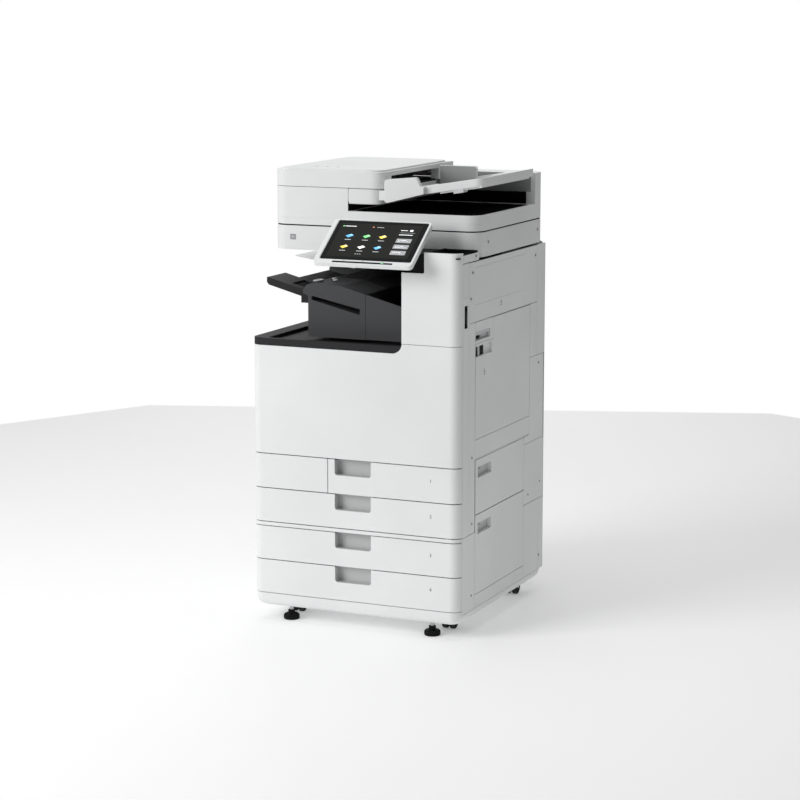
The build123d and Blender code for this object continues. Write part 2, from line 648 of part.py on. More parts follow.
STACK_X = (-293.0, -155.5)
STACK_Y = (111.0, 400.0)
STACK_RISE = tan(radians(15.0))


def stack_top(x):
    """Height of the stack tray's top, climbing away from the finisher."""
    return 865 - (x - STACK_X[0]) * STACK_RISE


with BuildPart() as stack_tray:
    left, right = STACK_X
    prism_y([(left, stack_top(left) - 19), (right, stack_top(right) - 19), (right, stack_top(right)),
             (left, stack_top(left))], (STACK_Y[0], 213))
    prism_y([(left + 35, stack_top(left + 35) - 14), (right, stack_top(right) - 14),
             (right, stack_top(right) - 3), (left + 35, stack_top(left + 35) - 3)], (212, STACK_Y[1]))
    block((-191, right), (100, 112), (805, 826))
    prism_y([(left + 60, stack_top(left + 60) - 5), (right + 1, stack_top(right) - 5),
             (right + 1, stack_top(right) + 3), (left + 60, stack_top(left + 60) + 3)],
            (135, 205), Mode.SUBTRACT)
finish(stack_tray, "stack_tray")


KEY_RECT = (-140.0, 96.0)
KEY_ROUND = [(-122.0, 150.0), (-104.0, 118.0)]
with BuildPart() as staple_key:
    rounded_block((KEY_RECT[0] - 9, KEY_RECT[0] + 9), (KEY_RECT[1] - 20, KEY_RECT[1] + 20), (863.2, 866.0), 2)
finish(staple_key, "staple_key")
for number, (x, y) in enumerate(KEY_ROUND):
    with BuildPart() as round_key:
        rod_z(x, y, (863.2, 865.6), 6)
    finish(round_key, f"round_key_{number + 1}")


# ------------------------------------------------------- casters and feet
TRAIL = 12.0
for name, x in zip(("left", "right"), CASTER_X):
    with BuildPart() as fork:
        caster_fork(x, CASTER_FRONT_Y, TRAIL, 45.6)
    finish(fork, f"front_caster_{name}")
    with BuildPart() as wheels:
        wheel_pair(x, CASTER_FRONT_Y + TRAIL)
    finish(wheels, f"front_wheels_{name}")

with BuildPart() as rear_wheels:
    for x in CASTER_REAR_X:
        wheel_pair(x, CASTER_REAR_Y)
finish(rear_wheels, "rear_wheels")

for name, x in zip(("left", "right"), FOOT_X):
    with BuildPart() as adjuster:
        rod_z(x, FOOT_Y, (0, 14), 20)
        fillet(adjuster.edges().filter_by(GeomType.CIRCLE).group_by(Axis.Z)[-1], 3)
        rod_z(x, FOOT_Y, (13, 30), 9)
        rod_z(x, FOOT_Y, (28, 58), 5.0)
    finish(adjuster, f"adjuster_{name}")


# --------------------------------------------------------- working internals
TONER_X = [-205.0, -115.0, -25.0, 65.0]
TONER_Z = 640.0
TONER_R = 32.0
TONER_NAMES = ("yellow", "magenta", "cyan", "black")
for name, x in zip(TONER_NAMES, TONER_X):
    with BuildPart() as bottle:
        rod_y(x, (34, 410), TONER_Z, TONER_R)
        fillet(bottle.edges().filter_by(GeomType.CIRCLE), 4)
        rod_y(x, (28, 36), TONER_Z, 18)
        rod_y(x, (408, 424), TONER_Z, 12)
        block((x - 14, x + 14), (22, 29), (TONER_Z - 3, TONER_Z + 3))
    finish(bottle, f"toner_bottle_{name}")

DRUM_Z = 548.0
with BuildPart() as drum_units:
    for x in TONER_X:
        block((x - 38, x + 38), (30, 425), (DRUM_Z - 22, DRUM_Z + 26))
        rod_y(x + 4, (45, 410), DRUM_Z - 24, 15)
        rod_y(x + 4, (27, 31), DRUM_Z - 4, 10)
finish(drum_units, "drum_units")

with BuildPart() as transfer_belt_unit:
    with BuildSketch(front(40)) as loop:
        with Locations((-66, 488)):
            SlotOverall(370, 40)
            SlotOverall(366, 36, mode=Mode.SUBTRACT)
    extrude(loop.sketch, amount=-370)
    for x in (-231, 99):
        rod_y(x, (32, 418), 488, 17.9)
    for y in (32, 412):
        block((-231, 99), (y, y + 6), (480, 496))
finish(transfer_belt_unit, "transfer_belt_unit")

with BuildPart() as fixing_unit:
    block((150, 232), (45, 440), (640, 650))
    block((150, 158), (45, 440), (648, 745))
    for y in (45, 436):
        block((150, 232), (y, y + 4), (648, 745))
    for x, z in ((180, 690), (214, 690)):
        rod_y(x, (44, 50), z, 5.05, Mode.SUBTRACT)
        rod_y(x, (435, 441), z, 5.05, Mode.SUBTRACT)
finish(fixing_unit, "fixing_unit")

for name, x in (("fixing_roller", 180), ("pressure_roller", 214)):
    with BuildPart() as roller:
        rod_y(x, (52, 434), 690, 16.8)
        rod_y(x, (43, 443), 690, 5.0)
    finish(roller, name)

with BuildPart() as power_supply:
    block((-200, 0), (549, 563), (300, 420))
    for x in (-180, -120, -60):
        rod_y(x, (562, 578), 370, 14)
finish(power_supply, "power_supply")

with BuildPart() as control_board:
    block((-200, 120), (549, 551), (500, 740))
    for x, z in ((-120, 640), (20, 560), (60, 680)):
        block((x, x + 36), (550.5, 560), (z, z + 36))
finish(control_board, "control_board")

# cover screws on the right side and the scanner, one group of equal fasteners
SCREW_R = 3.2
SIDE_SCREWS = [(80, 282), (80, 448), (80, 905), (70, 842), (510, 905), (555, 300), (470, 280),
               (80, 100), (555, 100), (540, 620)]
with BuildPart() as cover_screws:
    for y, z in SIDE_SCREWS:
        rod_x((HALF, HALF + 1.2), y, z, SCREW_R)
    for y, z in ((180, 971), (521, 971)):
        rod_x((HALF, HALF + 1.2), y, z, SCREW_R)
    rod_x((HALF, HALF + 1.2), 100, 944, SCREW_R)
finish(cover_screws, "cover_screws")
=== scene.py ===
from math import atan2, cos, degrees, pi, radians, sin, tan

import bmesh
import bpy
from mathutils import Matrix, Vector


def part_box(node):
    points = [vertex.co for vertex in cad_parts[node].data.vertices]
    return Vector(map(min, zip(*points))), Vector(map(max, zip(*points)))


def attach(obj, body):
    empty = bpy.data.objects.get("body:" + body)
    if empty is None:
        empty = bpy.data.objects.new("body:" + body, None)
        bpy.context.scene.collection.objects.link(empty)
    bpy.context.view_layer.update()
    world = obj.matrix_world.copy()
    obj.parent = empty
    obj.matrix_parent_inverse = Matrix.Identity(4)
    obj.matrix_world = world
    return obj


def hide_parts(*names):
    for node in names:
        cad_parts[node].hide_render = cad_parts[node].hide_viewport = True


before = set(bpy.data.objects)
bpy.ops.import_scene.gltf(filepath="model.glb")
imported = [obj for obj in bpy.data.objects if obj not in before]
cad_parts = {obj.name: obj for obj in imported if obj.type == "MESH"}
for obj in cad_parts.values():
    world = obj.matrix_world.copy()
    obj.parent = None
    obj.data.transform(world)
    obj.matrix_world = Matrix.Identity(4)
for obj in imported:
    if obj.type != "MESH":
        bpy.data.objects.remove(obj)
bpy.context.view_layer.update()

# An office photocopier with four paper drawers, an inner finisher, a scanner
# with a document feeder and a tilting touch panel. Places are written in
# millimetres from the middle of the front face on the floor, and at() turns
# them into the frame's metres.

MM = 0.001
DOOR_LOW, DOOR_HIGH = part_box("front_door")
MID_X = (DOOR_LOW[0] + DOOR_HIGH[0]) / 2
FRONT_Y = DOOR_LOW[1]


def at(x, y, z):
    """A place on the machine, in the frame's metres."""
    return Vector((MID_X + x * MM, FRONT_Y + y * MM, z * MM))


def span(node):
    """A CAD node's low and high corners, back in the machine's millimetres."""
    low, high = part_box(node)
    shift = Vector((MID_X, FRONT_Y, 0))
    return [(Vector(c) - shift) / MM for c in (low, high)]


# ------------------------------------------------------------------ finishes
def shader(name, colour, roughness, metallic=0.0):
    """A new material, with its principled shader and node links."""
    made = bpy.data.materials.new(name)
    made.use_nodes = True
    nodes = made.node_tree.nodes
    principled = nodes["Principled BSDF"]
    principled.inputs["Base Color"].default_value = (*colour, 1)
    principled.inputs["Roughness"].default_value = roughness
    principled.inputs["Metallic"].default_value = metallic
    made.diffuse_color = (*colour, 1)
    return made, nodes, made.node_tree.links, principled


def object_noise(nodes, links, scale, detail):
    """Noise on Object coordinates, scale in features per metre."""
    where = nodes.new("ShaderNodeTexCoord")
    noise = nodes.new("ShaderNodeTexNoise")
    noise.inputs["Scale"].default_value = scale
    noise.inputs["Detail"].default_value = detail
    links.new(where.outputs["Object"], noise.inputs["Vector"])
    return noise


def ramp_between(nodes, links, source, low, high, spread=(0.35, 0.65)):
    """Colours source's value between two colours."""
    ramp = nodes.new("ShaderNodeValToRGB")
    ramp.color_ramp.elements[0].position = spread[0]
    ramp.color_ramp.elements[1].position = spread[1]
    ramp.color_ramp.elements[0].color = (*low, 1)
    ramp.color_ramp.elements[1].color = (*high, 1)
    links.new(source, ramp.inputs["Fac"])
    return ramp


def moulded(name, colour, roughness, grain=1500.0, depth=0.05, cloud=0.03, gloss=0.5):
    """Moulded plastic: a fine spark texture, with faint clouding in its colour."""
    made, nodes, links, principled = shader(name, colour, roughness)
    principled.inputs["Specular IOR Level"].default_value = gloss
    cloudy = object_noise(nodes, links, 3.0, 3.0)
    low = [c * (1 - cloud) for c in colour]
    high = [min(1.0, c * (1 + cloud)) for c in colour]
    tint = ramp_between(nodes, links, cloudy.outputs["Fac"], low, high)
    links.new(tint.outputs["Color"], principled.inputs["Base Color"])
    spark = object_noise(nodes, links, grain, 2.0)
    rough = nodes.new("ShaderNodeMapRange")
    rough.inputs["To Min"].default_value = max(0.0, roughness - 0.06)
    rough.inputs["To Max"].default_value = min(1.0, roughness + 0.06)
    links.new(spark.outputs["Fac"], rough.inputs["Value"])
    links.new(rough.outputs["Result"], principled.inputs["Roughness"])
    bump = nodes.new("ShaderNodeBump")
    bump.inputs["Strength"].default_value = depth
    bump.inputs["Distance"].default_value = 0.0003
    links.new(spark.outputs["Fac"], bump.inputs["Height"])
    links.new(bump.outputs["Normal"], principled.inputs["Normal"])
    return made


def metal(name, colour, roughness, stretch=(1, 1, 40)):
    """Rolled or turned metal with fine lines along one way."""
    made, nodes, links, principled = shader(name, colour, roughness, 1.0)
    where = nodes.new("ShaderNodeTexCoord")
    mapping = nodes.new("ShaderNodeMapping")
    mapping.inputs["Scale"].default_value = stretch
    noise = nodes.new("ShaderNodeTexNoise")
    noise.inputs["Scale"].default_value = 60.0
    links.new(where.outputs["Object"], mapping.inputs["Vector"])
    links.new(mapping.outputs["Vector"], noise.inputs["Vector"])
    rough = nodes.new("ShaderNodeMapRange")
    rough.inputs["To Min"].default_value = roughness * 0.7
    rough.inputs["To Max"].default_value = roughness * 1.4
    links.new(noise.outputs["Fac"], rough.inputs["Value"])
    links.new(rough.outputs["Result"], principled.inputs["Roughness"])
    return made


def lit(name, colour, strength):
    """A part of the screen picture or a lamp that glows by itself."""
    made, nodes, links, principled = shader(name, colour, 0.25)
    soft = object_noise(nodes, links, 90.0, 1.0)
    tint = ramp_between(nodes, links, soft.outputs["Fac"], [c * 0.9 for c in colour], colour)
    links.new(tint.outputs["Color"], principled.inputs["Base Color"])
    links.new(tint.outputs["Color"], principled.inputs["Emission Color"])
    principled.inputs["Emission Strength"].default_value = strength
    return made


WHITE = moulded("white cover plastic", (0.81, 0.825, 0.825), 0.55, gloss=0.32)
PEARL = moulded("upper unit plastic", (0.76, 0.77, 0.77), 0.55, gloss=0.32)
# SHADE is the white plastic darkened as painted shade for inner and recessed white parts; a few grey parts
# such as the rear cover and the round keys also take it as their own colour.
SHADE = moulded("light grey plastic and painted shade", (0.62, 0.63, 0.64), 0.5)
PALE_GREY = moulded("grey mark", (0.30, 0.31, 0.32), 0.5)
CHARCOAL = moulded("finisher plastic", (0.062, 0.063, 0.066), 0.55, 900.0, 0.15, gloss=0.22)
TRAY_BLACK = moulded("delivery tray plastic", (0.026, 0.026, 0.028), 0.6, 900.0, 0.12, gloss=0.14)
BLACK = moulded("black plastic", (0.007, 0.007, 0.008), 0.55, gloss=0.12)
# Grip recesses: the white plastic darkened as painted shade inside the scoops.
GRIP_SHADE = moulded("grip recess painted shade", (0.56, 0.57, 0.57), 0.5)
BED_BLACK = moulded("paper bed plastic", (0.004, 0.004, 0.005), 0.9, gloss=0.02)
# The feeder's inner rear wall and rear guide: light plastic darkened as painted shade.
WALL_SHADE = moulded("feeder inner plastic in painted shade", (0.30, 0.31, 0.31), 0.55, gloss=0.2)
KEY_GREY = moulded("key plastic", (0.33, 0.34, 0.36), 0.35)
GLOSS_BLACK = moulded("screen bezel", (0.004, 0.004, 0.005), 0.12, 300.0, 0.0, gloss=0.06)
RUBBER = moulded("foot rubber", (0.012, 0.012, 0.012), 0.75, 700.0, 0.3)
SILICONE = moulded("fixing roller sleeve", (0.42, 0.10, 0.045), 0.3, 400.0, 0.03)
BELT = moulded("transfer belt film", (0.012, 0.012, 0.014), 0.12, 300.0, 0.02)
BOARD = moulded("board", (0.01, 0.14, 0.05), 0.35, 500.0, 0.1)
STEEL = metal("zinc plated sheet", (0.56, 0.57, 0.58), 0.32)
BRIGHT = metal("bright screw", (0.42, 0.42, 0.43), 0.28)
TONERS = {
    "yellow": moulded("yellow toner bottle", (0.80, 0.60, 0.03), 0.35),
    "magenta": moulded("magenta toner bottle", (0.60, 0.03, 0.22), 0.35),
    "cyan": moulded("cyan toner bottle", (0.01, 0.36, 0.62), 0.35),
    "black": moulded("black toner bottle", (0.02, 0.02, 0.022), 0.35),
}


def platen_finish():
    """Float glass with a faint green edge tint."""
    made, nodes, links, principled = shader("platen glass", (0.80, 0.90, 0.87), 0.04)
    tint = object_noise(nodes, links, 4.0, 1.0)
    ramp = ramp_between(nodes, links, tint.outputs["Fac"], (0.76, 0.88, 0.85), (0.82, 0.92, 0.89))
    links.new(ramp.outputs["Color"], principled.inputs["Base Color"])
    principled.inputs["Transmission Weight"].default_value = 0.85
    principled.inputs["IOR"].default_value = 1.5
    return made


GLASS = platen_finish()


# -------------------------------------------------------------- solid making
ARC_STEPS = 8


def arc(cx, cy, r, start, end, steps=ARC_STEPS):
    """Points on an arc between two angles in degrees."""
    angles = [radians(start + (end - start) * i / steps) for i in range(steps + 1)]
    return [(cx + r * cos(a), cy + r * sin(a)) for a in angles]


def rect(x0, x1, y0, y1, r=0.0, steps=4):
    """A rectangle's outline, its corners rounded to r."""
    if r <= 0:
        return [(x0, y0), (x1, y0), (x1, y1), (x0, y1)]
    return (arc(x0 + r, y0 + r, r, 180, 270, steps) + arc(x1 - r, y0 + r, r, 270, 360, steps)
            + arc(x1 - r, y1 - r, r, 0, 90, steps) + arc(x0 + r, y1 - r, r, 90, 180, steps))


def soften(points, radii, steps=5):
    """A polygon with each corner rounded to its own radius."""
    out = []
    count = len(points)
    for i, (point, r) in enumerate(zip(points, radii)):
        here = Vector(point)
        back = (Vector(points[i - 1]) - here)
        ahead = (Vector(points[(i + 1) % count]) - here)
        if r <= 0:
            out.append(tuple(here))
            continue
        turn = back.angle(ahead)
        reach = min(r / tan(turn / 2), back.length * 0.49, ahead.length * 0.49)
        a = here + back.normalized() * reach
        b = here + ahead.normalized() * reach
        for k in range(steps + 1):
            t = k / steps
            out.append(tuple(a * (1 - t) ** 2 + here * 2 * t * (1 - t) + b * t ** 2))
    return out


AXES = {
    "z": lambda u, v, w: at(u, v, w),
    "y": lambda u, v, w: at(u, w, v),
    "x": lambda u, v, w: at(w, u, v),
}


def bar(outline, low, high, axis="z"):
    """A closed outline run between low and high along an axis.

    The outline is x,y for axis z; x,z for axis y; and y,z for axis x."""
    place = AXES[axis]
    mesh = bmesh.new()
    rings = [[mesh.verts.new(place(u, v, w)) for u, v in outline] for w in (low, high)]
    mesh.faces.new(rings[0])
    mesh.faces.new(rings[1])
    count = len(outline)
    for i in range(count):
        j = (i + 1) % count
        mesh.faces.new((rings[0][i], rings[0][j], rings[1][j], rings[1][i]))
    bmesh.ops.recalc_face_normals(mesh, faces=mesh.faces)
    return mesh


def brick(x, y, z, r=0.0):
    """A block between pairs of x, y and z, upright edges rounded to r."""
    return bar(rect(*x, *y, r), *z)


def turned(profile, centre, axis="z", steps=32):
    """A profile of (radius, height) turned about an axis through centre."""
    mesh = bmesh.new()
    directions = {"z": ((1, 0, 0), (0, 1, 0), (0, 0, 1)), "x": ((0, 1, 0), (0, 0, 1), (1, 0, 0)),
                  "y": ((0, 0, 1), (1, 0, 0), (0, 1, 0))}
    u, v, w = (Vector(d) for d in directions[axis])
    rings = []
    for r, h in profile:
        ring = []
        for i in range(steps):
            a = 2 * pi * i / steps
            ring.append(mesh.verts.new(centre + (u * cos(a) * r + v * sin(a) * r + w * h) * MM))
        rings.append(ring)
    for low, high in zip(rings, rings[1:]):
        for i in range(steps):
            j = (i + 1) % steps
            mesh.faces.new((low[i], low[j], high[j], high[i]))
    mesh.faces.new(rings[0])
    mesh.faces.new(rings[-1])
    bmesh.ops.recalc_face_normals(mesh, faces=mesh.faces)
    return mesh


def loose_object(mesh, name="tool"):
    """An object for one bmesh, which is used up."""
    data = bpy.data.meshes.new(name)
    mesh.to_mesh(data)
    mesh.free()
    made = bpy.data.objects.new(name, data)
    bpy.context.scene.collection.objects.link(made)
    return made


def settle(made):
    """Turn an object's modifiers into plain mesh."""
    depsgraph = bpy.context.evaluated_depsgraph_get()
    data = bpy.data.meshes.new_from_object(made.evaluated_get(depsgraph))
    made.modifiers.clear()
    old = made.data
    made.data = data
    bpy.data.meshes.remove(old)


def merge(made, others, how):
    """Boolean other bmeshes into or out of an object."""
    tools = []
    for other in others:
        tool = loose_object(other)
        cut = made.modifiers.new("cut", "BOOLEAN")
        cut.operation = how
        cut.solver = "EXACT"
        cut.object = tool
        tools.append(tool)
    if tools:
        settle(made)
    for tool in tools:
        bpy.data.objects.remove(tool)


def solid(name, body, finish, first, add=(), cut=(), edge=0.8, stands_for=(), smooth=35):
    """One finished piece: solids joined and cut, edges rounded, on its body."""
    made = loose_object(first, name)
    merge(made, add, "UNION")
    merge(made, cut, "DIFFERENCE")
    if edge > 0:
        bevel = made.modifiers.new("edge", "BEVEL")
        bevel.width = edge * MM
        bevel.segments = 2
        bevel.limit_method = "ANGLE"
        bevel.angle_limit = radians(smooth)
        bevel.use_clamp_overlap = True
        settle(made)
    dress(made, finish)
    made.data.shade_smooth()
    made.data.set_sharp_from_angle(angle=radians(smooth))
    even = made.modifiers.new("even normals", "WEIGHTED_NORMAL")
    even.keep_sharp = True
    settle(made)
    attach(made, body)
    if stands_for:
        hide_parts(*stands_for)
    return made


def dress(made, finish):
    """Give an object its one finish."""
    made.data.materials.clear()
    made.data.materials.append(finish)


# ------------------------------------------------------------- camera, light
CAMERA_PLACE = at(2436, -5227, 1578)
CAMERA_TURN = 23.85
CAMERA_DIP = 9.77
LENS = 106.9

camera_data = bpy.data.cameras.new("camera")
camera_data.lens = LENS
camera_data.clip_end = 60
camera = bpy.data.objects.new("camera", camera_data)
camera.location = CAMERA_PLACE
camera.rotation_euler = (radians(90 - CAMERA_DIP), 0, radians(CAMERA_TURN))
bpy.context.scene.collection.objects.link(camera)
bpy.context.scene.camera = camera


def soft_light(name, place, target, size, power):
    """A square studio lamp aimed at a point."""
    data = bpy.data.lights.new(name, "AREA")
    data.size = size
    data.energy = power
    made = bpy.data.objects.new(name, data)
    made.location = place
    made.rotation_euler = (target - place).to_track_quat("-Z", "Y").to_euler()
    bpy.context.scene.collection.objects.link(made)


MIDDLE = at(0, 250, 600)
soft_light("key", at(-2600, -3400, 2600), MIDDLE, 2.6, 135)
soft_light("top", at(-200, 300, 3600), MIDDLE, 3.0, 34)
soft_light("rear", at(-1500, 4200, 2400), MIDDLE, 2.4, 30)

SEEN_BRIGHTNESS = 1.0
FILL_BRIGHTNESS = 0.27
world = bpy.data.worlds.new("studio")
bpy.context.scene.world = world
world.use_nodes = True
sky = world.node_tree.nodes["Background"]
sky.inputs["Color"].default_value = (1, 1, 1, 1)
ray = world.node_tree.nodes.new("ShaderNodeLightPath")
choose = world.node_tree.nodes.new("ShaderNodeMapRange")
choose.inputs["To Min"].default_value = FILL_BRIGHTNESS
choose.inputs["To Max"].default_value = SEEN_BRIGHTNESS
world.node_tree.links.new(ray.outputs["Is Camera Ray"], choose.inputs["Value"])
world.node_tree.links.new(choose.outputs["Result"], sky.inputs["Strength"])
bpy.context.scene.view_settings.view_transform = "Standard"

FLOOR = moulded("studio floor", (0.90, 0.90, 0.90), 0.7, 60.0, 0.0, 0.004, gloss=0.1)
FLOOR.node_tree.nodes["Principled BSDF"].inputs["Emission Color"].default_value = (1, 1, 1, 1)
FLOOR.node_tree.nodes["Principled BSDF"].inputs["Emission Strength"].default_value = 0.22
floor = loose_object(bar(arc(0, 250, 3200, 0, 350), -20, 0), "floor")
dress(floor, FLOOR)


# ------------------------------------------------- finishes for the CAD nodes
CAD_FINISH = {
    "main_frame": STEEL, "cassette_frame": STEEL, "power_supply": STEEL, "fixing_unit": STEEL,
    "control_board": BOARD, "drum_units": BLACK, "transfer_belt_unit": BELT, "scan_carriage": BLACK,
    "platen_glass": GLASS, "platen_pad": WHITE, "fixing_roller": SILICONE, "pressure_roller": RUBBER,
    "pickup_roller": RUBBER, "power_inlet": BLACK,
}
for tint, finish in TONERS.items():
    CAD_FINISH[f"toner_bottle_{tint}"] = finish


def dress_cad():
    """Put a finish on every CAD node that stays in view."""
    for name, finish in CAD_FINISH.items():
        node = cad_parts[name]
        if not node.material_slots:
            node.data.materials.append(finish)
        for holder in node.material_slots:
            holder.material = finish


dress_cad()


# ------------------------------------------------------------- outer covers
HALF = 282.5
DEPTH = 582
CORNER = 26
WRAP = 20.5
SKIN = 3.2
SEAMS = {"drawer_1": (344.8, 432.3), "drawer_2": (257.8, 343.9), "drawer_3": (160.1, 246.2),
         "drawer_4": (72.8, 159.3)}
SPLIT = -71.7


def wrap_plan(x0, x1, left=True, right=True, back=WRAP, skin=SKIN):
    """Plan of a front panel that turns round the machine's corners."""
    outer, inner = [], []
    turn = degrees(atan2(CORNER - back, (CORNER ** 2 - (CORNER - back) ** 2) ** 0.5))
    if left:
        outer += arc(-HALF + CORNER, CORNER, CORNER, 180 + turn, 270)
        inner += arc(-HALF + CORNER, CORNER, CORNER - skin, 180 + turn, 270)
    else:
        outer.append((x0, 0))
        inner.append((x0, skin))
    if right:
        outer += arc(HALF - CORNER, CORNER, CORNER, 270, 360 - turn)
        inner += arc(HALF - CORNER, CORNER, CORNER - skin, 270, 360 - turn)
    else:
        outer.append((x1, 0))
        inner.append((x1, skin))
    return outer + inner[::-1]


DOOR_Z = (433.5, 707.2)
COLUMN_X = 129
RIM_ROUND = 24
rim_wedge = bar([(COLUMN_X + 1, DOOR_Z[1] - 1), (COLUMN_X + 1, 731.2)]
                + arc(COLUMN_X + 0.4 - RIM_ROUND, 732, RIM_ROUND, 358, 274), 0, SKIN, "y")
solid(
    "door_panel", "front_door", WHITE, bar(wrap_plan(0, 0), DOOR_Z[0] + 0.4, DOOR_Z[1]),
    add=[bar(wrap_plan(COLUMN_X + 0.4, 0, left=False), DOOR_Z[1] - 4, 731.2), rim_wedge], edge=1.1,
    stands_for=("front_door",))


def door_inside():
    """Ribbed liner and clips on the back of the front door."""
    ribs = [brick((x, x + 3), (3, 11), (440, 700)) for x in range(-225, 240, 50)]
    ribs += [brick((-250, 250), (3, 9), (z, z + 3)) for z in (440, 520, 600, 699)]
    liner = solid("door_liner", "front_door", SHADE, brick((-254, 254), (2.6, 5.2), (438, 702)), add=ribs,
                  edge=0.5)
    clips = [brick((x, x + 9), (3, 17), (688, 696)) for x in (-200, 60, 192)]
    solid("door_clips", "front_door", BLACK, clips[0], add=clips[1:], edge=0.5)
    return liner


door_inside()

# waste toner cover, left of the top drawer
solid("waste_cover_panel", "waste_toner_cover", WHITE,
      bar(wrap_plan(0, SPLIT - 0.8, right=False), SEAMS["drawer_1"][0] + 0.5, SEAMS["drawer_1"][1] - 0.5),
      add=[brick((-250, -80), (3, 8), (z, z + 3)) for z in (349, 426)], edge=1.1,
      stands_for=("waste_toner_cover",))

GRIP_X = (-52.5, 45.8)
GRIP_DROP = 40
GRIP_DEEP = 24


def digit(text, x, z, height, name, body):
    """A small raised number on a front panel."""
    letter = bpy.data.curves.new(name, "FONT")
    letter.body = text
    letter.size = height * MM
    letter.extrude = 0.15 * MM
    letter.align_x = "CENTER"
    holder = bpy.data.objects.new(name, letter)
    bpy.context.scene.collection.objects.link(holder)
    data = bpy.data.meshes.new_from_object(holder.evaluated_get(bpy.context.evaluated_depsgraph_get()))
    data.transform(Matrix.Translation(at(x, -0.1, z)) @ Matrix.Rotation(pi / 2, 4, "X"))
    made = bpy.data.objects.new(f"{name}_mark", data)
    bpy.context.scene.collection.objects.link(made)
    bpy.data.objects.remove(holder)
    dress(made, CHARCOAL)
    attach(made, body)


SEAM_TRIM = 0.5
SEAM_LEVELS = (432.9, 344.35, 257.35, 246.6, 159.7, 72.4)


def seam_liners():
    """Black strips behind the joints of the front panels, as painted shade in the gaps."""
    strips = [bar(rect(-HALF + 1, HALF - 1, 1, 30, CORNER - 1, 8), z - 0.9, z + 0.9) for z in SEAM_LEVELS]
    strips.append(brick((SPLIT - 0.4, SPLIT + 0.4), (1, 3), (345, 432)))
    solid("front_seam_shade", "main_unit", BLACK, strips[0], add=strips[1:],
          cut=[brick((-HALF + 5, HALF - 5), (7, 40), (60, 440))], edge=0)


seam_liners()


def make_drawer(number):
    """A drawer's front with its grip, its tray, guides and lifting plate."""
    body = f"drawer_{number}"
    low, high = SEAMS[body]
    first = number == 1
    plan = wrap_plan(SPLIT + 0.8, 0, left=False) if first else wrap_plan(0, 0)
    x0, x1 = GRIP_X
    floor_z = high - GRIP_DROP
    opening = bar(rect(x0, x1, floor_z, high + 20, 7, 5), -5, GRIP_DEEP, "y")
    pocket = brick((x0 - 3, x1 + 3), (3.3, GRIP_DEEP + 3), (floor_z - 3, high - 3))
    hollow = bar(rect(x0, x1, floor_z, high + 20, 7, 5), -5, GRIP_DEEP, "y")
    # The grip pocket is coloured as painted shade in the recess.
    solid(f"{body}_grip", body, GRIP_SHADE, pocket, cut=[hollow], edge=0)
    solid(f"{body}_front", body, WHITE, bar(plan, low + SEAM_TRIM, high - SEAM_TRIM), cut=[opening], edge=1.0,
          stands_for=(body,))
    solid(f"{body}_grip_lip", body, SHADE, brick((x0 + 1, x1 - 1), (GRIP_DEEP - 3, GRIP_DEEP + 0.4),
                                               (high - 6, high - 3.4)), edge=0.6)
    digit(str(number), 207, high - 38, 12, f"{body}_number", body)
    left, right = (-66, 228) if first else (-240, 228)
    tray = solid(f"{body}_tray", body, SHADE, brick((left, right), (4, 470), (low + 6, low + 60)),
                 add=[brick((x, x + 5), (40, 470), (low + 40, low + 46)) for x in (left - 5, right)],
                 cut=[brick((left + 2.5, right - 2.5), (32, 467.5), (low + 9, low + 70)),
                      brick((left + 2.5, right - 2.5), (6.5, 29), (low + 9, low + 45)),
                      brick((x0 - 4, x1 + 4), (3, 29), (floor_z - 4, high))], edge=0.6)
    middle = (left + right) / 2
    guides = [brick((x, x + 3), (150, 330), (low + 8, low + 56), 1) for x in (middle - 128, middle + 125)]
    guides.append(brick((middle - 30, middle + 30), (430, 434), (low + 8, low + 52), 1))
    solid(f"{body}_guides", body, PALE_GREY, guides[0], add=guides[1:], edge=0.6)
    holes = [turned([(7, -5), (7, 5)], at(middle + x, y, low + 11)) for x in (-70, 70) for y in (120, 340)]
    solid(f"{body}_lift_plate", body, STEEL, brick((middle - 122, middle + 122), (45, 420),
                                                   (low + 9.2, low + 11)),
          cut=holes, edge=0.3)
    return tray


for number in (1, 2, 3, 4):
    make_drawer(number)


def cover_sheet(y, z, x=HALF, r=1.0, thick=2.6):
    """A side cover's plate: an outline in y and z, set into the side."""
    inner = x - thick if x > 0 else x + thick
    return bar(rect(*y, *z, r, 2), min(x, inner), max(x, inner), "x")


MODULE_Z = 256
SIDE_FRONT = 21.4
SIDE_LOW = 62
SIDE_TOP = 931
CAVITY_REAR = 455
TRAY_Z = 708
LIP_Z = 725.7

# left side, split at the cassette module, with its cavity opening on top
solid("left_cover_upper", "main_unit", WHITE,
      bar(soften([(SIDE_FRONT, MODULE_Z + 0.5), (581, MODULE_Z + 0.5), (581, SIDE_TOP),
                  (CAVITY_REAR + 1, SIDE_TOP),
                  (CAVITY_REAR + 1, TRAY_Z - 1), (SIDE_FRONT, TRAY_Z - 1)], [1, 1, 1, 6, 2, 1]), -HALF,
          -HALF + 2.6, "x"),
      add=[brick((-HALF, -HALF + 18), (CAVITY_REAR + 4.5, CAVITY_REAR + 8), (LIP_Z + 1, SIDE_TOP))],
      edge=0.8, stands_for=("left_cover",))
solid("left_cover_lower", "main_unit", WHITE, cover_sheet((SIDE_FRONT, 550), (SIDE_LOW, MODULE_Z - 0.7),
                                                          -HALF),
      add=[cover_sheet((551.5, 581), (SIDE_LOW, MODULE_Z - 0.7), -HALF)],
      cut=[brick((-HALF - 2, -HALF + 1.6), (200, 330), (200, 226))], edge=0.8)
solid("module_rail", "main_unit", WHITE, bar(wrap_plan(0, 0), 247.4, 256.5), edge=0.8)

# plinth with its deep rounded foot
PLINTH = [(0, 72), (0, 62), (2, 50), (8, 42), (17, 38), (30, 36.5)]


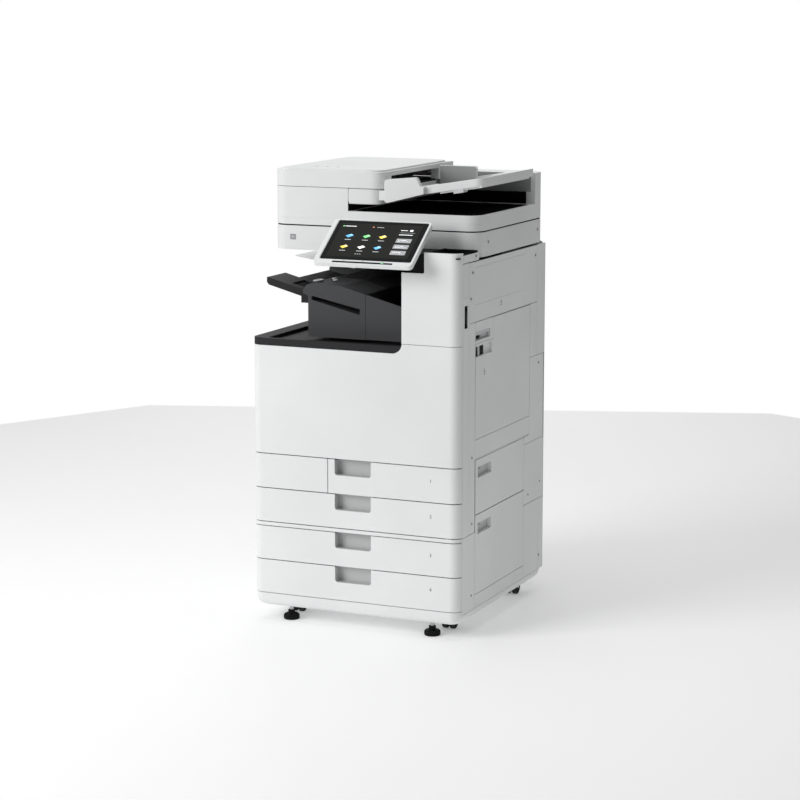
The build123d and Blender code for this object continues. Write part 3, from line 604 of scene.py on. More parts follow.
def plinth():
    """The base moulding, its lower edge rolled under all round."""
    mesh = bmesh.new()
    rings = []
    for inset, z in PLINTH:
        outline = rect(-HALF + inset, HALF - inset, inset, DEPTH - inset, max(CORNER - inset * 0.5, 6), 8)
        rings.append([mesh.verts.new(at(x, y, z)) for x, y in outline])
    inner = rect(-HALF + 34, HALF - 34, 34, DEPTH - 34, 10, 8)
    rings.append([mesh.verts.new(at(x, y, 36.5)) for x, y in inner])
    rings.append([mesh.verts.new(at(x, y, 44)) for x, y in inner])
    count = len(rings[0])
    for low, high in zip(rings, rings[1:]):
        for i in range(count):
            j = (i + 1) % count
            mesh.faces.new((low[i], low[j], high[j], high[i]))
    mesh.faces.new(rings[0])
    mesh.faces.new(rings[-1])
    bmesh.ops.recalc_face_normals(mesh, faces=mesh.faces)
    wells = [turned([(27, -20), (27, 14)], at(x, 105, 44)) for x in (-211, 211)]
    wells += [turned([(24, -20), (24, 20)], at(x, 507, 44)) for x in (-227, 227)]
    solid("plinth", "main_unit", WHITE, mesh, cut=wells + [brick((-300, 300), (21.4, 600), (61.4, 90))],
          edge=0.5, stands_for=("base_cover",))


plinth()

# ------------------------------------------------------------ right side
SWITCH_Y = (30, 51)
SWITCH_Z = (773, 829)
DOOR_Y = (100.5, 475.5)
fixed_covers = {
    "strip_upper_front": ((SIDE_FRONT, 60.4), (MODULE_Z + 0.5, SIDE_TOP)),
    "strip_inner_front": ((61.6, 99.4), (MODULE_Z + 0.5, 781)),
    "cover_upper_right": ((61.6, 528), (782.2, SIDE_TOP - 1)),
    "cover_rear_upper": ((529.2, 581), (641.8, SIDE_TOP)),
    "cover_rear_step": ((477.2, 528), (641.8, 781)),
    "cover_rear_middle": ((477.2, 577), (417.4, 641)),
    "strip_rear_low": ((441.6, 581), (MODULE_Z + 0.5, 416.6)),
    "module_strip_front": ((SIDE_FRONT, 103.6), (SIDE_LOW, MODULE_Z - 0.7)),
    "module_strip_rear": ((441.6, 549.4), (SIDE_LOW, MODULE_Z - 0.7)),
    "module_corner_rear": ((550.6, 581), (SIDE_LOW, MODULE_Z - 0.7)),
    "module_sill": ((104.4, 440.8), (SIDE_LOW, 95.2)),
    "door_sill": ((100, 477), (437.8, 440.9)),
    "cover_step": ((441.6, 476.4), (417.4, 437)),
}
GROOVES = [((95, 435), 915), ((95, 435), 824)]


def right_covers():
    """Fixed covers down the right side, each its own plate with a soft edge."""
    for index, (name, (y, z)) in enumerate(fixed_covers.items()):
        cuts = []
        if name == "strip_upper_front":
            cuts.append(bar(rect(*SWITCH_Y, *SWITCH_Z, 3), HALF - 10, HALF + 5, "x"))
            cuts.append(brick((HALF - 0.7, HALF + 2), (20, 62), (848, 849.2)))
        if name == "cover_upper_right":
            cuts += [brick((HALF - 1.0, HALF + 2), line, (height, height + 1.6)) for line, height in GROOVES]
        solid(name, "main_unit", WHITE, cover_sheet(y, z), cut=cuts, edge=0.9,
              stands_for=("right_covers",) if index == 0 else ())
    # Black plates behind the gaps between the right covers, as painted shade in the seams.
    shade_plates = [brick((HALF - 4.4, HALF - 3.0), y, z) for y, z in
               (((24, 99), (SIDE_LOW + 2, 930)), ((62, 580), (784, 929)), ((478, 580), (438.5, 784)),
                ((442.4, 580), (SIDE_LOW + 2, 438)))]
    solid("side_gap_shade", "main_unit", BLACK, shade_plates[0], add=shade_plates[1:],
          cut=[bar(rect(*SWITCH_Y, *SWITCH_Z), HALF - 10, HALF + 5, "x")], edge=0)
    solid("switch_well", "main_unit", BLACK,
          bar(rect(SWITCH_Y[0] - 2, SWITCH_Y[1] + 2, SWITCH_Z[0] - 2, SWITCH_Z[1] + 2), HALF - 8, HALF - 3.4,
              "x"),
          cut=[bar(rect(*SWITCH_Y, *SWITCH_Z, 2), HALF - 6.6, HALF, "x")], edge=0)


right_covers()
solid("switch_rocker", "power_switch", BLACK,
      bar(soften([(34.5, 785.5), (46.5, 785.5), (46.5, 816.5), (34.5, 816.5)], [1.5] * 4), HALF - 4.2,
          HALF - 1.0, "x"),
      cut=[turned([(60, -20), (60, 20)], at(HALF + 57.6, 40.5, 801), "y", 48)], edge=0.4,
      stands_for=("power_switch",))

BYPASS = [(102, 488.8), (474, 488.8), (474, 779.2), (218.8, 779.2), (218.8, 726.4), (102, 726.4)]


def right_door():
    """The paper-path door with its hollow frame and release recess."""
    solid("right_door_shell", "right_door", WHITE, brick((256, HALF), DOOR_Y, (441.5, 780.5)),
          cut=[brick((259, 269), (108, 468), (450, 772)), brick((250, 262), (120, 456), (470, 752)),
               brick((272, HALF + 5), (100.9, 475.1), (487.5, 727.4)),
               brick((272, HALF + 5), (217.5, 475.1), (720, 780.1)),
               bar(rect(101.5, 198, 734, 756, 1.5), 270.4, HALF + 5, "x")], edge=0.8,
          stands_for=("right_door",))
    solid("bypass_shadow", "right_door", BLACK, brick((271.9, 272.8), (101, 475), (487.6, 727.2)),
          add=[brick((271.9, 272.8), (217.7, 475), (727, 780))], edge=0)
    solid("release_lever", "release_handle", SHADE, brick((271.6, 279.4), (104, 196), (746.5, 754.5)),
          add=[brick((270.8, 274), (150, 196), (736, 748))], edge=0.9, stands_for=("release_handle",))
    solid("release_shadow", "right_door", BLACK, brick((270.5, 271.3), (103, 196.5), (735, 746)), edge=0.2)
    solid("bypass_panel", "bypass_tray", WHITE, bar(soften(BYPASS, [2, 2, 2, 2, 2, 2]), 273.2, HALF, "x"),
          cut=[brick((270, 277), (130, 445), (504, 680)),
               bar(rect(96, 211, 693.5, 720, 1.5), 275, HALF + 5, "x"),
               bar([(105, 727), (220, 727), (220, 722.5), (105, 722.5)], HALF - 0.4, HALF + 3, "x")],
          edge=0.9, stands_for=("bypass_tray",))
    solid("bypass_grip_shade", "bypass_tray", BLACK, brick((274.8, 275.8), (98, 168), (694.5, 719)), edge=0.2)
    # The rib inside the bypass grip is coloured as painted shade.
    solid("bypass_grip_rib", "bypass_tray", GRIP_SHADE, brick((275, 278.4), (126, 137), (694.5, 719)), edge=0.5)
    solid("bypass_slide", "bypass_tray", SHADE, brick((273.6, 276.4), (140, 435), (508, 676)),
          cut=[bar(rect(255, 320, 660, 690, 6), 272, 278, "x")], edge=0.4)


right_door()
SMALL_DOORS = {"middle_door": ((299, 437), (389, 417)), "bottom_door": ((96, 297.2), (247, 275))}
for name, (z, grip) in SMALL_DOORS.items():
    solid(f"{name}_panel", name, WHITE, brick((268, HALF), (105.2, 439.3), (z[0] + 0.6, z[1] - 0.6)),
          cut=[brick((262, HALF - 3), (108, 436.5), (z[0] + 4, grip[0] - 3)),
               brick((262, HALF - 3), (214, 436.5), (grip[0] - 4, z[1] - 4)),
               bar(rect(121, 211, *grip, 1.5), 271, HALF + 5, "x")], edge=0.9, stands_for=(name,))
    # The grip's back wall is coloured as painted shade in the recess.
    solid(f"{name}_grip_back", name, GRIP_SHADE, brick((269.6, 271.4), (122, 210), grip), edge=0.2)
    solid(f"{name}_grip_lip", name, PALE_GREY, brick((272, 277), (124, 150), (grip[1] - 9, grip[1] - 3)),
          edge=0.8)

# ---------------------------------------------------- front column and mount
NOTCH_X = 188.7
NOTCH_Z = 907
COLUMN_TOP = 958
solid("column_panel", "main_unit", WHITE, bar(wrap_plan(COLUMN_X, 0, left=False), 732.4, COLUMN_TOP),
      add=[brick((COLUMN_X, COLUMN_X + 3), (1, CAVITY_REAR), (732.4, NOTCH_Z)),
           brick((COLUMN_X, COLUMN_X + 3), (5, CAVITY_REAR), (LIP_Z + 1, 735)),
           brick((NOTCH_X, NOTCH_X + 3), (1, 121), (NOTCH_Z - 3, COLUMN_TOP - 6))],
      cut=[bar(soften([(100, NOTCH_Z), (NOTCH_X, NOTCH_Z), (NOTCH_X, 980), (100, 980)], [0, 5, 0, 0]), -5, 24,
               "y")],
      edge=1.1, stands_for=("front_column",))
solid("column_side", "main_unit", WHITE, cover_sheet((21.4, 121), (SIDE_TOP + 1.4, 951)), edge=0.8)
solid("column_shelf", "main_unit", BLACK, brick((NOTCH_X + 3, HALF - 3.4), (3.4, 121), (944, 947), 4),
      add=[brick((NOTCH_X + 3, HALF - 4), (118, 121), (944, 956)),
           brick((NOTCH_X + 3, NOTCH_X + 6), (4, 121), (944, 957))],
      edge=0.7)
solid("mount_block", "main_unit", BLACK, brick((COLUMN_X + 0.8, NOTCH_X - 0.8), (4, 120),
                                               (NOTCH_Z + 0.6, 954), 5),
      add=[brick((114, 150), (36, 60), (930, 952), 3), turned([(7, -37), (7, 59)], at(91, 48, 941), "x")],
      cut=[brick((COLUMN_X + 20, COLUMN_X + 21), (2, 5), (900, 960))], edge=0.9, stands_for=("panel_mount",))

# ------------------------------------------------------------- paper cavity
def cavity():
    """Dark delivery tray with its rim, runners and rear wall."""
    plan = arc(-HALF + CORNER, CORNER, CORNER, 180, 270) + [(COLUMN_X - 0.6, 0),
                                                            (COLUMN_X - 0.6, CAVITY_REAR),
                                                            (-HALF, CAVITY_REAR)]
    ribs = [brick((-236, 100), (y, y + 3), (716, 719.4)) for y in range(60, 430, 40)]
    solid("delivery_rim", "main_unit", TRAY_BLACK, bar(plan, TRAY_Z, LIP_Z),
          cut=[brick((-240, COLUMN_X - 3), (12, 450), (717, LIP_Z + 5), 8),
               bar([(COLUMN_X + 2, TRAY_Z - 1), (COLUMN_X + 2, 732)]
                   + arc(COLUMN_X - 0.6 - RIM_ROUND, 732, RIM_ROUND, 359, 272), -1, SKIN + 1.2, "y")],
          add=ribs, edge=1.4,
          stands_for=("delivery_tray",))
    wall = bar(rect(-HALF + 16, 126, LIP_Z - 4, 926, 4), CAVITY_REAR, CAVITY_REAR + 3.5, "y")
    slots = [brick((x, x + 46), (450, 456.5), (800, 806)) for x in range(-220, 100, 70)]
    solid("cavity_wall", "main_unit", BLACK, wall, cut=slots, edge=0.8)
    solid("cavity_roof", "main_unit", BLACK, brick((-90, 124), (140, 455), (928, 934.6)), edge=0.5)
    solid("cavity_side", "main_unit", BLACK, brick((COLUMN_X - 1.2, COLUMN_X - 0.2), (30, 454), (728, 905)),
          edge=0)


cavity()
RISE = tan(radians(8.7))
solid("upper_copy_tray", "main_unit", PEARL,
      bar([(-150, 868), (-320, 868 + 170 * RISE), (-320, 870.5 + 170 * RISE), (-150, 875)], 330, 452, "y"),
      add=[brick((-290, -150), (448, 454), (866, 905))], edge=0.7, stands_for=("upper_tray",))

# ------------------------------------------------------------------ scanner
SCAN_Y = (123.4, 577)
SCAN_R = 40
SCANNER_Z = (936, 997.5)
scan_plan = rect(-HALF, HALF, *SCAN_Y, SCAN_R, 8)


def scanner():
    """Scanner housing with its glass openings, side cover seam and clips."""
    solid("scanner_shell", "main_unit", PEARL, bar(scan_plan, SCANNER_Z[0], SCANNER_Z[1] - 1),
          cut=[brick((-268, 268), (142, 556), (939, 994.5)), brick((-220, 220), (160, 465), (990, 1000), 2),
               brick((-250, -232), (160, 465), (990, 1000), 2),
               brick((HALF - 0.9, HALF + 2), (168.6, 169.8), (930, 1000))],
          edge=1.6, stands_for=("scanner_housing",))
    solid("scanner_feet", "main_unit", BLACK, brick((-200, -180), (540, 575), (930.2, 937)),
          add=[brick((180, 200), (540, 575), (930.2, 937))], edge=0.5)
    solid("glass_surround", "main_unit", PALE_GREY, brick((-231, -221), (160, 465), (996.5, 997.8)), edge=0.2)


scanner()
# A black ring in the gap between scanner and feeder, as painted shade in the seam.
inset = bar(rect(-HALF + 1.6, HALF - 1.6, SCAN_Y[0] + 1.6, SCAN_Y[1] - 1.6, SCAN_R - 1.6, 8), 996.2, 998.6)
solid("scanner_seam_shade", "main_unit", BLACK, inset, cut=[brick((-266, 266), (145, 556), (990, 1000))], edge=0)
solid("sign_square", "main_unit", PALE_GREY, bar(rect(-232, -216, 961, 975, 1), 123.0, 124.5, "y"), edge=0.1)
solid("sign_square_window", "main_unit", SHADE, bar(rect(-228.5, -219.5, 967.4, 968.6), 122.8, 124.5, "y"),
      add=[bar(rect(-224.6, -223.4, 964, 972), 122.8, 124.5, "y")], edge=0)
for index, (body, y, z) in enumerate((("main_unit", 270, 812), ("bypass_tray", 160, 652))):
    signs = [bar(rect(y - 6, y + 6, z - 1, z + 1), HALF - 0.1, HALF + 0.2, "x"),
             bar(rect(y - 1, y + 1, z - 8, z + 8), HALF - 0.1, HALF + 0.2, "x"),
             bar(rect(y - 5, y + 5, z - 8, z - 6), HALF - 0.1, HALF + 0.2, "x")]
    solid(f"side_sign_{index + 1}", body, PALE_GREY, signs[0], add=signs[1:], edge=0)

# --------------------------------------------------------- document feeder
ADF_Z = 999
ADF_LIP = 1038
SEAM_Z = 1095
TOP_Z = 1140
FEEDER_X = -71
FEEDER_END = 24
COLUMN_Y = 505


def part_of_plan(x0, x1, y0=100, y1=600):
    """The feeder's plan, kept between two x and two y values."""
    kept = []
    for x, y in rect(-HALF, HALF, *SCAN_Y, SCAN_R, 8):
        kept.append((min(max(x, x0), x1), min(max(y, y0), y1)))
    out = []
    for point in kept:
        if not out or (Vector(point) - Vector(out[-1])).length > 0.01:
            out.append(point)
    if (Vector(out[0]) - Vector(out[-1])).length < 0.01:
        out.pop()
    return out


def feeder():
    """Feeder body: lower tray with its dark bed, left housing and rear column."""
    left = part_of_plan(-HALF, FEEDER_X)
    rear = part_of_plan(-HALF, HALF, COLUMN_Y)
    lip_groove = bar(rect(-HALF - 1, HALF - 8, SCAN_Y[0] - 1, SCAN_Y[1] + 1, 24, 8), 1016.2, 1017.8)
    groove_core = bar(rect(-HALF + 0.7, HALF - 0.7, SCAN_Y[0] + 0.7, SCAN_Y[1] - 0.7, SCAN_R - 0.7, 8), 1010,
                      1020)
    ring = loose_object(lip_groove)
    merge(ring, [groove_core], "DIFFERENCE")
    groove = bmesh.new()
    groove.from_mesh(ring.data)
    bpy.data.objects.remove(ring)
    solid("feeder_shell", "feeder", PEARL, bar(scan_plan, ADF_Z + 0.8, ADF_LIP),
          add=[bar(left, ADF_LIP - 1, SEAM_Z - 0.7), bar(rear, ADF_LIP - 1, 1117)],
          cut=[groove, brick((FEEDER_X, 276), (130, 498), (ADF_LIP - 9, ADF_LIP + 4), 33),
               brick((-300, FEEDER_END + 1), (COLUMN_Y - 3, 600), (SEAM_Z - 0.7, 1130))],
          edge=2.0, stands_for=("feeder_body",))
    bed = brick((FEEDER_X + 0.5, 275.4), (130.6, 497), (ADF_LIP - 8.5, ADF_LIP - 2), 32.5)
    ribs = [brick((x, x + 1.6), (150, 480), (ADF_LIP - 2.5, ADF_LIP - 1.4)) for x in range(-30, 250, 28)]
    solid("feeder_bed", "feeder", BED_BLACK, bed, add=ribs, edge=0.4)
    solid("feeder_wall", "feeder", BLACK, brick((FEEDER_X - 0.4, FEEDER_X + 1.6), (124.4, 498),
                                                (ADF_LIP + 0.6, 1062)), edge=0)
    solid("feeder_back", "feeder", BED_BLACK, brick((FEEDER_X, 258), (499, 505.2), (ADF_LIP - 8, 1068), 2),
          edge=0.8)
    # The rear column's inner face, darkened as painted shade.
    solid("feeder_back_wall", "feeder", WALL_SHADE, brick((FEEDER_END + 2, 270), (503.6, 505.4),
                                                         (1068.4, 1116)), edge=0.3)
    nose = bar(soften([(FEEDER_X - 1, SCAN_Y[0] + 1), (18, SCAN_Y[0] + 1), (18, 480), (FEEDER_X - 1, 480)],
                      [0, 34, 4, 0], 8),
               1056, SEAM_Z - 0.7)
    solid("feeder_nose", "feeder", PEARL, nose, edge=3.0)
    sheet = [brick((18, 31), (190, 470), (1076, 1080))]
    solid("feeder_mouth", "feeder", BLACK, brick((-60, 19), (160, 470), (SEAM_Z - 2, SEAM_Z + 2)), add=sheet,
          edge=0.6)


feeder()


def rounded_end(plan, end):
    """Round the front corner of a plan at its right end."""
    front = min(y for _, y in plan)
    back = max(y for _, y in plan)
    plain = [(x, y) for x, y in plan if x < end - 0.1 or y < front + 0.1 or y > back - 0.1]
    radii = [34 if x > end - 0.1 and y < front + 0.1 else 0 for x, y in plain]
    return soften(plain, radii, 8)


def top_cover():
    """Hinged lid over the feed rollers, raised in the middle with a latch."""
    plan = rounded_end(part_of_plan(-HALF, FEEDER_END), FEEDER_END)
    lid = bar(plan, SEAM_Z + 0.5, TOP_Z - 4)
    crown = brick((-272, 14), (132, 570), (TOP_Z - 6, TOP_Z), 34)
    solid("feed_lid", "feed_cover", PEARL, lid, add=[crown],
          cut=[brick((-274, 2), (133, 568), (SEAM_Z - 5, TOP_Z - 8), 33),
               brick((-2, 30), (176, 478), (SEAM_Z - 5, TOP_Z - 15)),
               brick((-34, -8), (138, 160), (TOP_Z - 1.2, TOP_Z + 3), 4),
               brick((-180, -60), (300, 301.2), (TOP_Z - 0.7, TOP_Z + 2))],
          edge=2.6, stands_for=("feed_cover",))
    solid("lid_latch", "feed_cover", SHADE, brick((-32, -10), (140, 158), (TOP_Z - 1.6, TOP_Z - 0.3), 3),
          edge=0.5)
    arrows = [bar([(-200 + i * 30, 200), (-190 + i * 30, 206), (-200 + i * 30, 212)], TOP_Z - 0.2,
                  TOP_Z + 0.15)
              for i in range(3)]
    solid("lid_arrows", "feed_cover", PALE_GREY, arrows[0], add=arrows[1:], edge=0)


top_cover()
SLOPE = tan(radians(9.3))


def under(x):
    """Height of the document tray's underside."""
    return 1085 + (x - 129.6) * SLOPE


# middle x and y of each rounded corner, its radius and the y span cut square
TRAY_CORNERS = ((261, 165, 24, (65, 165)), (269, 478, 16, (478, 538)))


def document_tray():
    """The sloping tray for originals, its rim, ramp lines and two guides."""
    rim = bar([(32, under(32)), (285, under(285)), (285, under(285) + 20), (32, under(32) + 20)], 141, 494,
              "y")
    well = bar([(20, under(20) + 9), (272, under(272) + 9), (272, under(272) + 40), (20, under(20) + 40)],
               152.4, 486, "y")
    for middle_x, middle_y, radius, side in TRAY_CORNERS:
        corner = loose_object(brick((middle_x, 300), side, (1000, 1200)))
        round_core = turned([(radius, -200), (radius, 200)], at(middle_x, middle_y, 1100), "z", 40)
        merge(corner, [round_core], "DIFFERENCE")
        tool = bmesh.new()
        tool.from_mesh(corner.data)
        bpy.data.objects.remove(corner)
        rim_object = loose_object(rim)
        merge(rim_object, [tool], "DIFFERENCE")
        rim = bmesh.new()
        rim.from_mesh(rim_object.data)
        bpy.data.objects.remove(rim_object)
    solid("originals_tray", "document_tray", PEARL, rim, cut=[well], edge=1.8, stands_for=("document_tray",))
    cheek = bar(soften([(27, 1060), (27, 1119), (112, 1127), (124, 1104), (132, under(132) + 18),
                        (132, under(132) + 1),
                        (120, under(120))], [8, 10, 9, 6, 2, 1, 1]), 126, 140.4, "y")
    solid("tray_cheek", "feeder", PEARL, cheek, add=[brick((0, 40), (133, 139.6), (1067, 1091))], edge=2.4)
    top = [bar([(60, under(60) + 8.4), (262, under(262) + 8.4), (262, under(262) + 9.1),
                (60, under(60) + 9.1)], y, y + 1.2, "y")
           for y in range(200, 430, 24)]
    solid("tray_ribs", "document_tray", PEARL, top[0], add=top[1:], edge=0.3)
    solid("guide_edge", "guide_rear", PEARL,
          bar(soften([(45, 1133.4), (143, 1133.4), (147.6, 1129), (147.6, under(147) + 11),
                      (149, under(149) + 11), (149, 1135),
                      (45, 1135)], [0, 5, 0, 0, 0, 7, 0]), 437, 441.4, "y"), edge=0.2)
    ledge = bar([(168, under(168) - 4), (279, under(279) - 4), (279, under(279) + 1), (168, under(168) + 1)],
                146, 470, "y")
    solid("tray_ledge", "document_tray", PEARL, ledge, edge=1.0)
    hook = bar([(205, under(205) - 9), (232, under(232) - 9), (232, under(232) + 1), (205, under(205) + 1)],
               142, 170, "y")
    solid("tray_stopper", "document_tray", SHADE, hook, edge=1.2)
    back = bar(soften([(45, under(45) + 10.4), (149, under(149) + 10.4), (149, 1135), (45, 1135)],
                      [0, 0, 7, 6]), 438, 441, "y")
    foot = bar([(60, under(60) + 10.4), (140, under(140) + 10.4), (140, under(140) + 12),
                (60, under(60) + 12)], 400, 441, "y")
    # The rear guide is darkened as painted shade; its top edge keeps the light plastic.
    solid("rear_guide", "guide_rear", WALL_SHADE, back, add=[foot], edge=0.7, stands_for=("guide_rear",))
    front = bar(soften([(50, under(50) + 10.4), (149, under(149) + 10.4), (149, under(149) + 21),
                        (50, under(50) + 21)],
                       [0, 0, 4, 4]), 184, 187, "y")
    foot = bar([(60, under(60) + 10.4), (140, under(140) + 10.4), (140, under(140) + 12),
                (60, under(60) + 12)], 184, 225, "y")
    solid("front_guide", "guide_front", PEARL, front, add=[foot], edge=0.7, stands_for=("guide_front",))


document_tray()

# ------------------------------------------------------------ control panel
TILT = radians(35.45)
PANEL_FOOT = (58.25, -60, 940)
PANEL_SIZE = (261, 163)
SCREEN_SIZE = (240.5, 142.5)
UI_BACK = moulded("screen dark", (0.022, 0.023, 0.020), 0.3, 300.0, 0.0, 0.05, gloss=0.04)
UI_BLUE = lit("screen blue", (0.10, 0.42, 0.86), 0.9)
UI_GREEN = lit("screen green", (0.16, 0.62, 0.20), 0.9)
UI_YELLOW = lit("screen yellow", (0.86, 0.62, 0.08), 0.9)
UI_WHITE = lit("screen white", (0.80, 0.82, 0.84), 0.9)
UI_GREY = lit("screen grey", (0.40, 0.42, 0.44), 0.9)
UI_BOX = lit("screen box", (0.30, 0.31, 0.32), 0.5)
UI_RED = lit("screen orange", (0.80, 0.26, 0.10), 0.8)


def tilted(mesh):
    """Move a mesh drawn as (u, climb, out) on to the panel's sloping plane."""
    foot = at(*PANEL_FOOT)
    origin = at(0, 0, 0)
    for vertex in mesh.verts:
        u, climb, out = (vertex.co - origin) * 1000
        place = Vector((u, climb * cos(TILT) - out * sin(TILT), climb * sin(TILT) + out * cos(TILT)))
        vertex.co = foot + place / 1000
    return mesh


def plate(x, climb, out, radius=0, steps=6):
    """A plate on the panel's plane, from ranges across, up and out."""
    return tilted(bar(rect(*x, *climb, radius, steps), *out))


def control_panel():
    """White panel case with its black glass front and screen picture."""
    half = PANEL_SIZE[0] / 2
    case = plate((-3.5 - half, -3.5 + half), (-16, 147), (-12, 0), 10)
    solid("panel_case", "control_panel", WHITE, case,
          cut=[plate((-122, 122), (-1.6, 143.4), (-1.4, 4), 5)], edge=1.6, stands_for=("control_panel",))
    solid("panel_back", "control_panel", SHADE, plate((-100, 92), (14, 122), (-15.2, -11.5), 12), edge=1.4)
    solid("panel_glass", "control_panel", GLOSS_BLACK,
          plate((-SCREEN_SIZE[0] / 2, SCREEN_SIZE[0] / 2), (0, 142), (-1.8, -0.3), 4), edge=0.3,
          stands_for=("touch_screen",))
    solid("panel_picture", "control_panel", UI_BACK, plate((-108, 108), (10, 132), (-0.31, -0.22)), edge=0)


control_panel()
LEVELS = (-0.24, -0.12)


def picture(name, finish, shapes):
    """Flat coloured shapes of one finish on the screen."""
    drawn = [plate(*shape[:2], LEVELS, shape[2] if len(shape) > 2 else 0, 5) for shape in shapes]
    solid(name, "control_panel", finish, drawn[0], add=drawn[1:], edge=0)


def leaf(u, climb, width, height, finish, name):
    """A tilted sheet-like sign, the form of a copied page."""
    outline = [(u - width / 2, climb), (u - width * 0.1, climb - height / 2),
               (u + width / 2, climb + height * 0.1),
               (u + width * 0.12, climb + height / 2)]
    solid(name, "control_panel", finish, tilted(bar(outline, *LEVELS)), edge=0)


ICON_U = (-72, -26, 17)
ICON_V = (86, 46)
for row, tints in enumerate(((UI_BLUE, UI_GREEN, UI_YELLOW), (UI_YELLOW, UI_WHITE, UI_BLUE))):
    for column, tint in enumerate(tints):
        leaf(ICON_U[column], ICON_V[row], 21, 13, tint, f"icon_{row + 1}_{column + 1}")
        if tint is not UI_WHITE:
            leaf(ICON_U[column] + 3, ICON_V[row] + 3.4, 9, 5, UI_WHITE, f"icon_page_{row + 1}_{column + 1}")
picture("icon_lines", UI_GREY,
        [((u - 8, u + 8), (v - 15, v - 13.2)) for u in ICON_U for v in ICON_V])
picture("side_boxes", UI_BOX, [((56, 96), (v, v + 15), 2) for v in (24, 46, 68)])
picture("side_box_lines", UI_WHITE, [((60, 82), (v + 8.6, v + 10.6)) for v in (24, 46, 68)]
        + [((60, 90), (v + 4, v + 5.4)) for v in (24, 46, 68)])
picture("status_lines", UI_WHITE, [((56, 74), (112, 114)), ((80, 88), (110, 116)), ((-96, -66), (120, 122)),
                                   ((56, 92), (96, 98))])
picture("status_mark", UI_GREEN, [((-102, -98), (119, 123), 1)])
picture("page_marks", UI_GREY, [((u, u + 3), (20, 22)) for u in (-34, -28, -22)])
picture("notice_mark", UI_RED, [((-22, -18), (119, 122), 1)])
picture("top_rule", UI_GREY, [((-10, 8), (119.5, 121)), ((56, 96), (104, 104.6))])


def below_screen():
    """Lamp strip and three touch signs under the screen."""
    lamps = plate((-83, 77), (-12.4, -7), (-0.4, 0.35), 2)
    solid("lamp_strip", "control_panel", GLOSS_BLACK, lamps, edge=0.2)
    solid("ready_lamp", "control_panel", UI_GREEN, plate((46, 53), (-10.8, -8.6), (0.3, 0.5), 1), edge=0)
    signs = [plate((u, u + 6), (-4.8, -3.4), (-0.2, 0.15)) for u in (-57, -6, 47)]
    solid("home_signs", "control_panel", PALE_GREY, signs[0], add=signs[1:], edge=0)


below_screen()


def panel_arm():
    """The lugs that carry the panel on its pivot rod."""
    pivot = (48, 941)
    lugs = []
    for x0, x1 in ((60.4, 73.6), (96.4, 109.6)):
        eye = turned([(9, x0), (9, x1)], at(0, pivot[0], pivot[1]), "x", 28)
        reach = bar([(6, 950), (30, 962), (56, 946), (40, 934), (20, 936)], x0, x1, "x")
        lugs += [eye, reach]
    solid("panel_lugs", "control_panel", SHADE, lugs[0], add=lugs[1:], edge=0.8)


panel_arm()

# ----------------------------------------------------------------- finisher
FIN_Y = 62
FIN_REAR = 446
ROOF_RUN = 0.263


def roof(x):
    """Height of the finisher's sloping roof."""
    return 857.4 - (x + 63.7) * ROOF_RUN


def finisher():
    """Dark finisher housing with its outlet slot, roof lid and cover."""
    side = [(-153, 726.4), (4.5, 726.4), (4.5, roof(4.5)), (-63.7, 857.4), (-140, 862), (-158, 856),
            (-168, 842),
            (-166, 834), (-153, 829)]
    shell = bar(soften(side, [1, 0, 2, 26, 30, 8, 8, 3, 3]), FIN_Y, FIN_REAR, "y")
    slot = bar([(-143.5, 819), (-143.5, 829.5), (-10.5, 802.2), (-11.5, 787.6)], FIN_Y - 5, FIN_Y + 44, "y")
    rear = bar(soften([(-262, 838), (-262, 862), (-152, 862), (-152, 848)], [10, 14, 2, 0]), 412, FIN_REAR,
               "y")
    solid("finisher_shell", "finisher", CHARCOAL, shell, add=[rear],
          cut=[brick((-220, -151.5), (110, 405), (728, 826)), slot], edge=2.2,
          stands_for=("finisher_housing",))
    solid("slot_floor", "finisher", BLACK,
          bar([(-143, 820), (-143, 829), (-11, 801.6), (-12, 788.4)], FIN_Y + 42, FIN_Y + 45, "y"), edge=0)
    lid = [bar([(-134, 861.4), (-66, 857.2), (-66, 858.2), (-134, 862.4)], 196, 404, "y"),
           bar([(-62, roof(-62) - 0.6), (2, roof(2) - 0.6), (2, roof(2) + 0.6), (-62, roof(-62) + 0.6)], 196,
               440, "y")]
    solid("roof_lid", "finisher", TRAY_BLACK, lid[0], add=lid[1:], edge=0.3)
    cover = bar(soften([(5.4, 727), (125.6, 727), (125.6, roof(125.6)), (5.4, roof(5.4))], [1, 2, 8, 1]),
                FIN_Y, 66, "y")
    top = bar([(5.4, roof(5.4) - 4), (125.6, roof(125.6) - 4), (125.6, roof(125.6)), (5.4, roof(5.4))],
              FIN_Y + 1, 66, "y")
    solid("finisher_door", "finisher_cover", CHARCOAL, cover, add=[top], edge=1.2,
          stands_for=("finisher_cover",))
    solid("finisher_catch", "finisher_cover", KEY_GREY, bar(rect(114, 118, 735, 765, 1.6, 4), 60.4, 63, "y"),
          edge=0.5)


finisher()
TRAY_RUN = tan(radians(15))


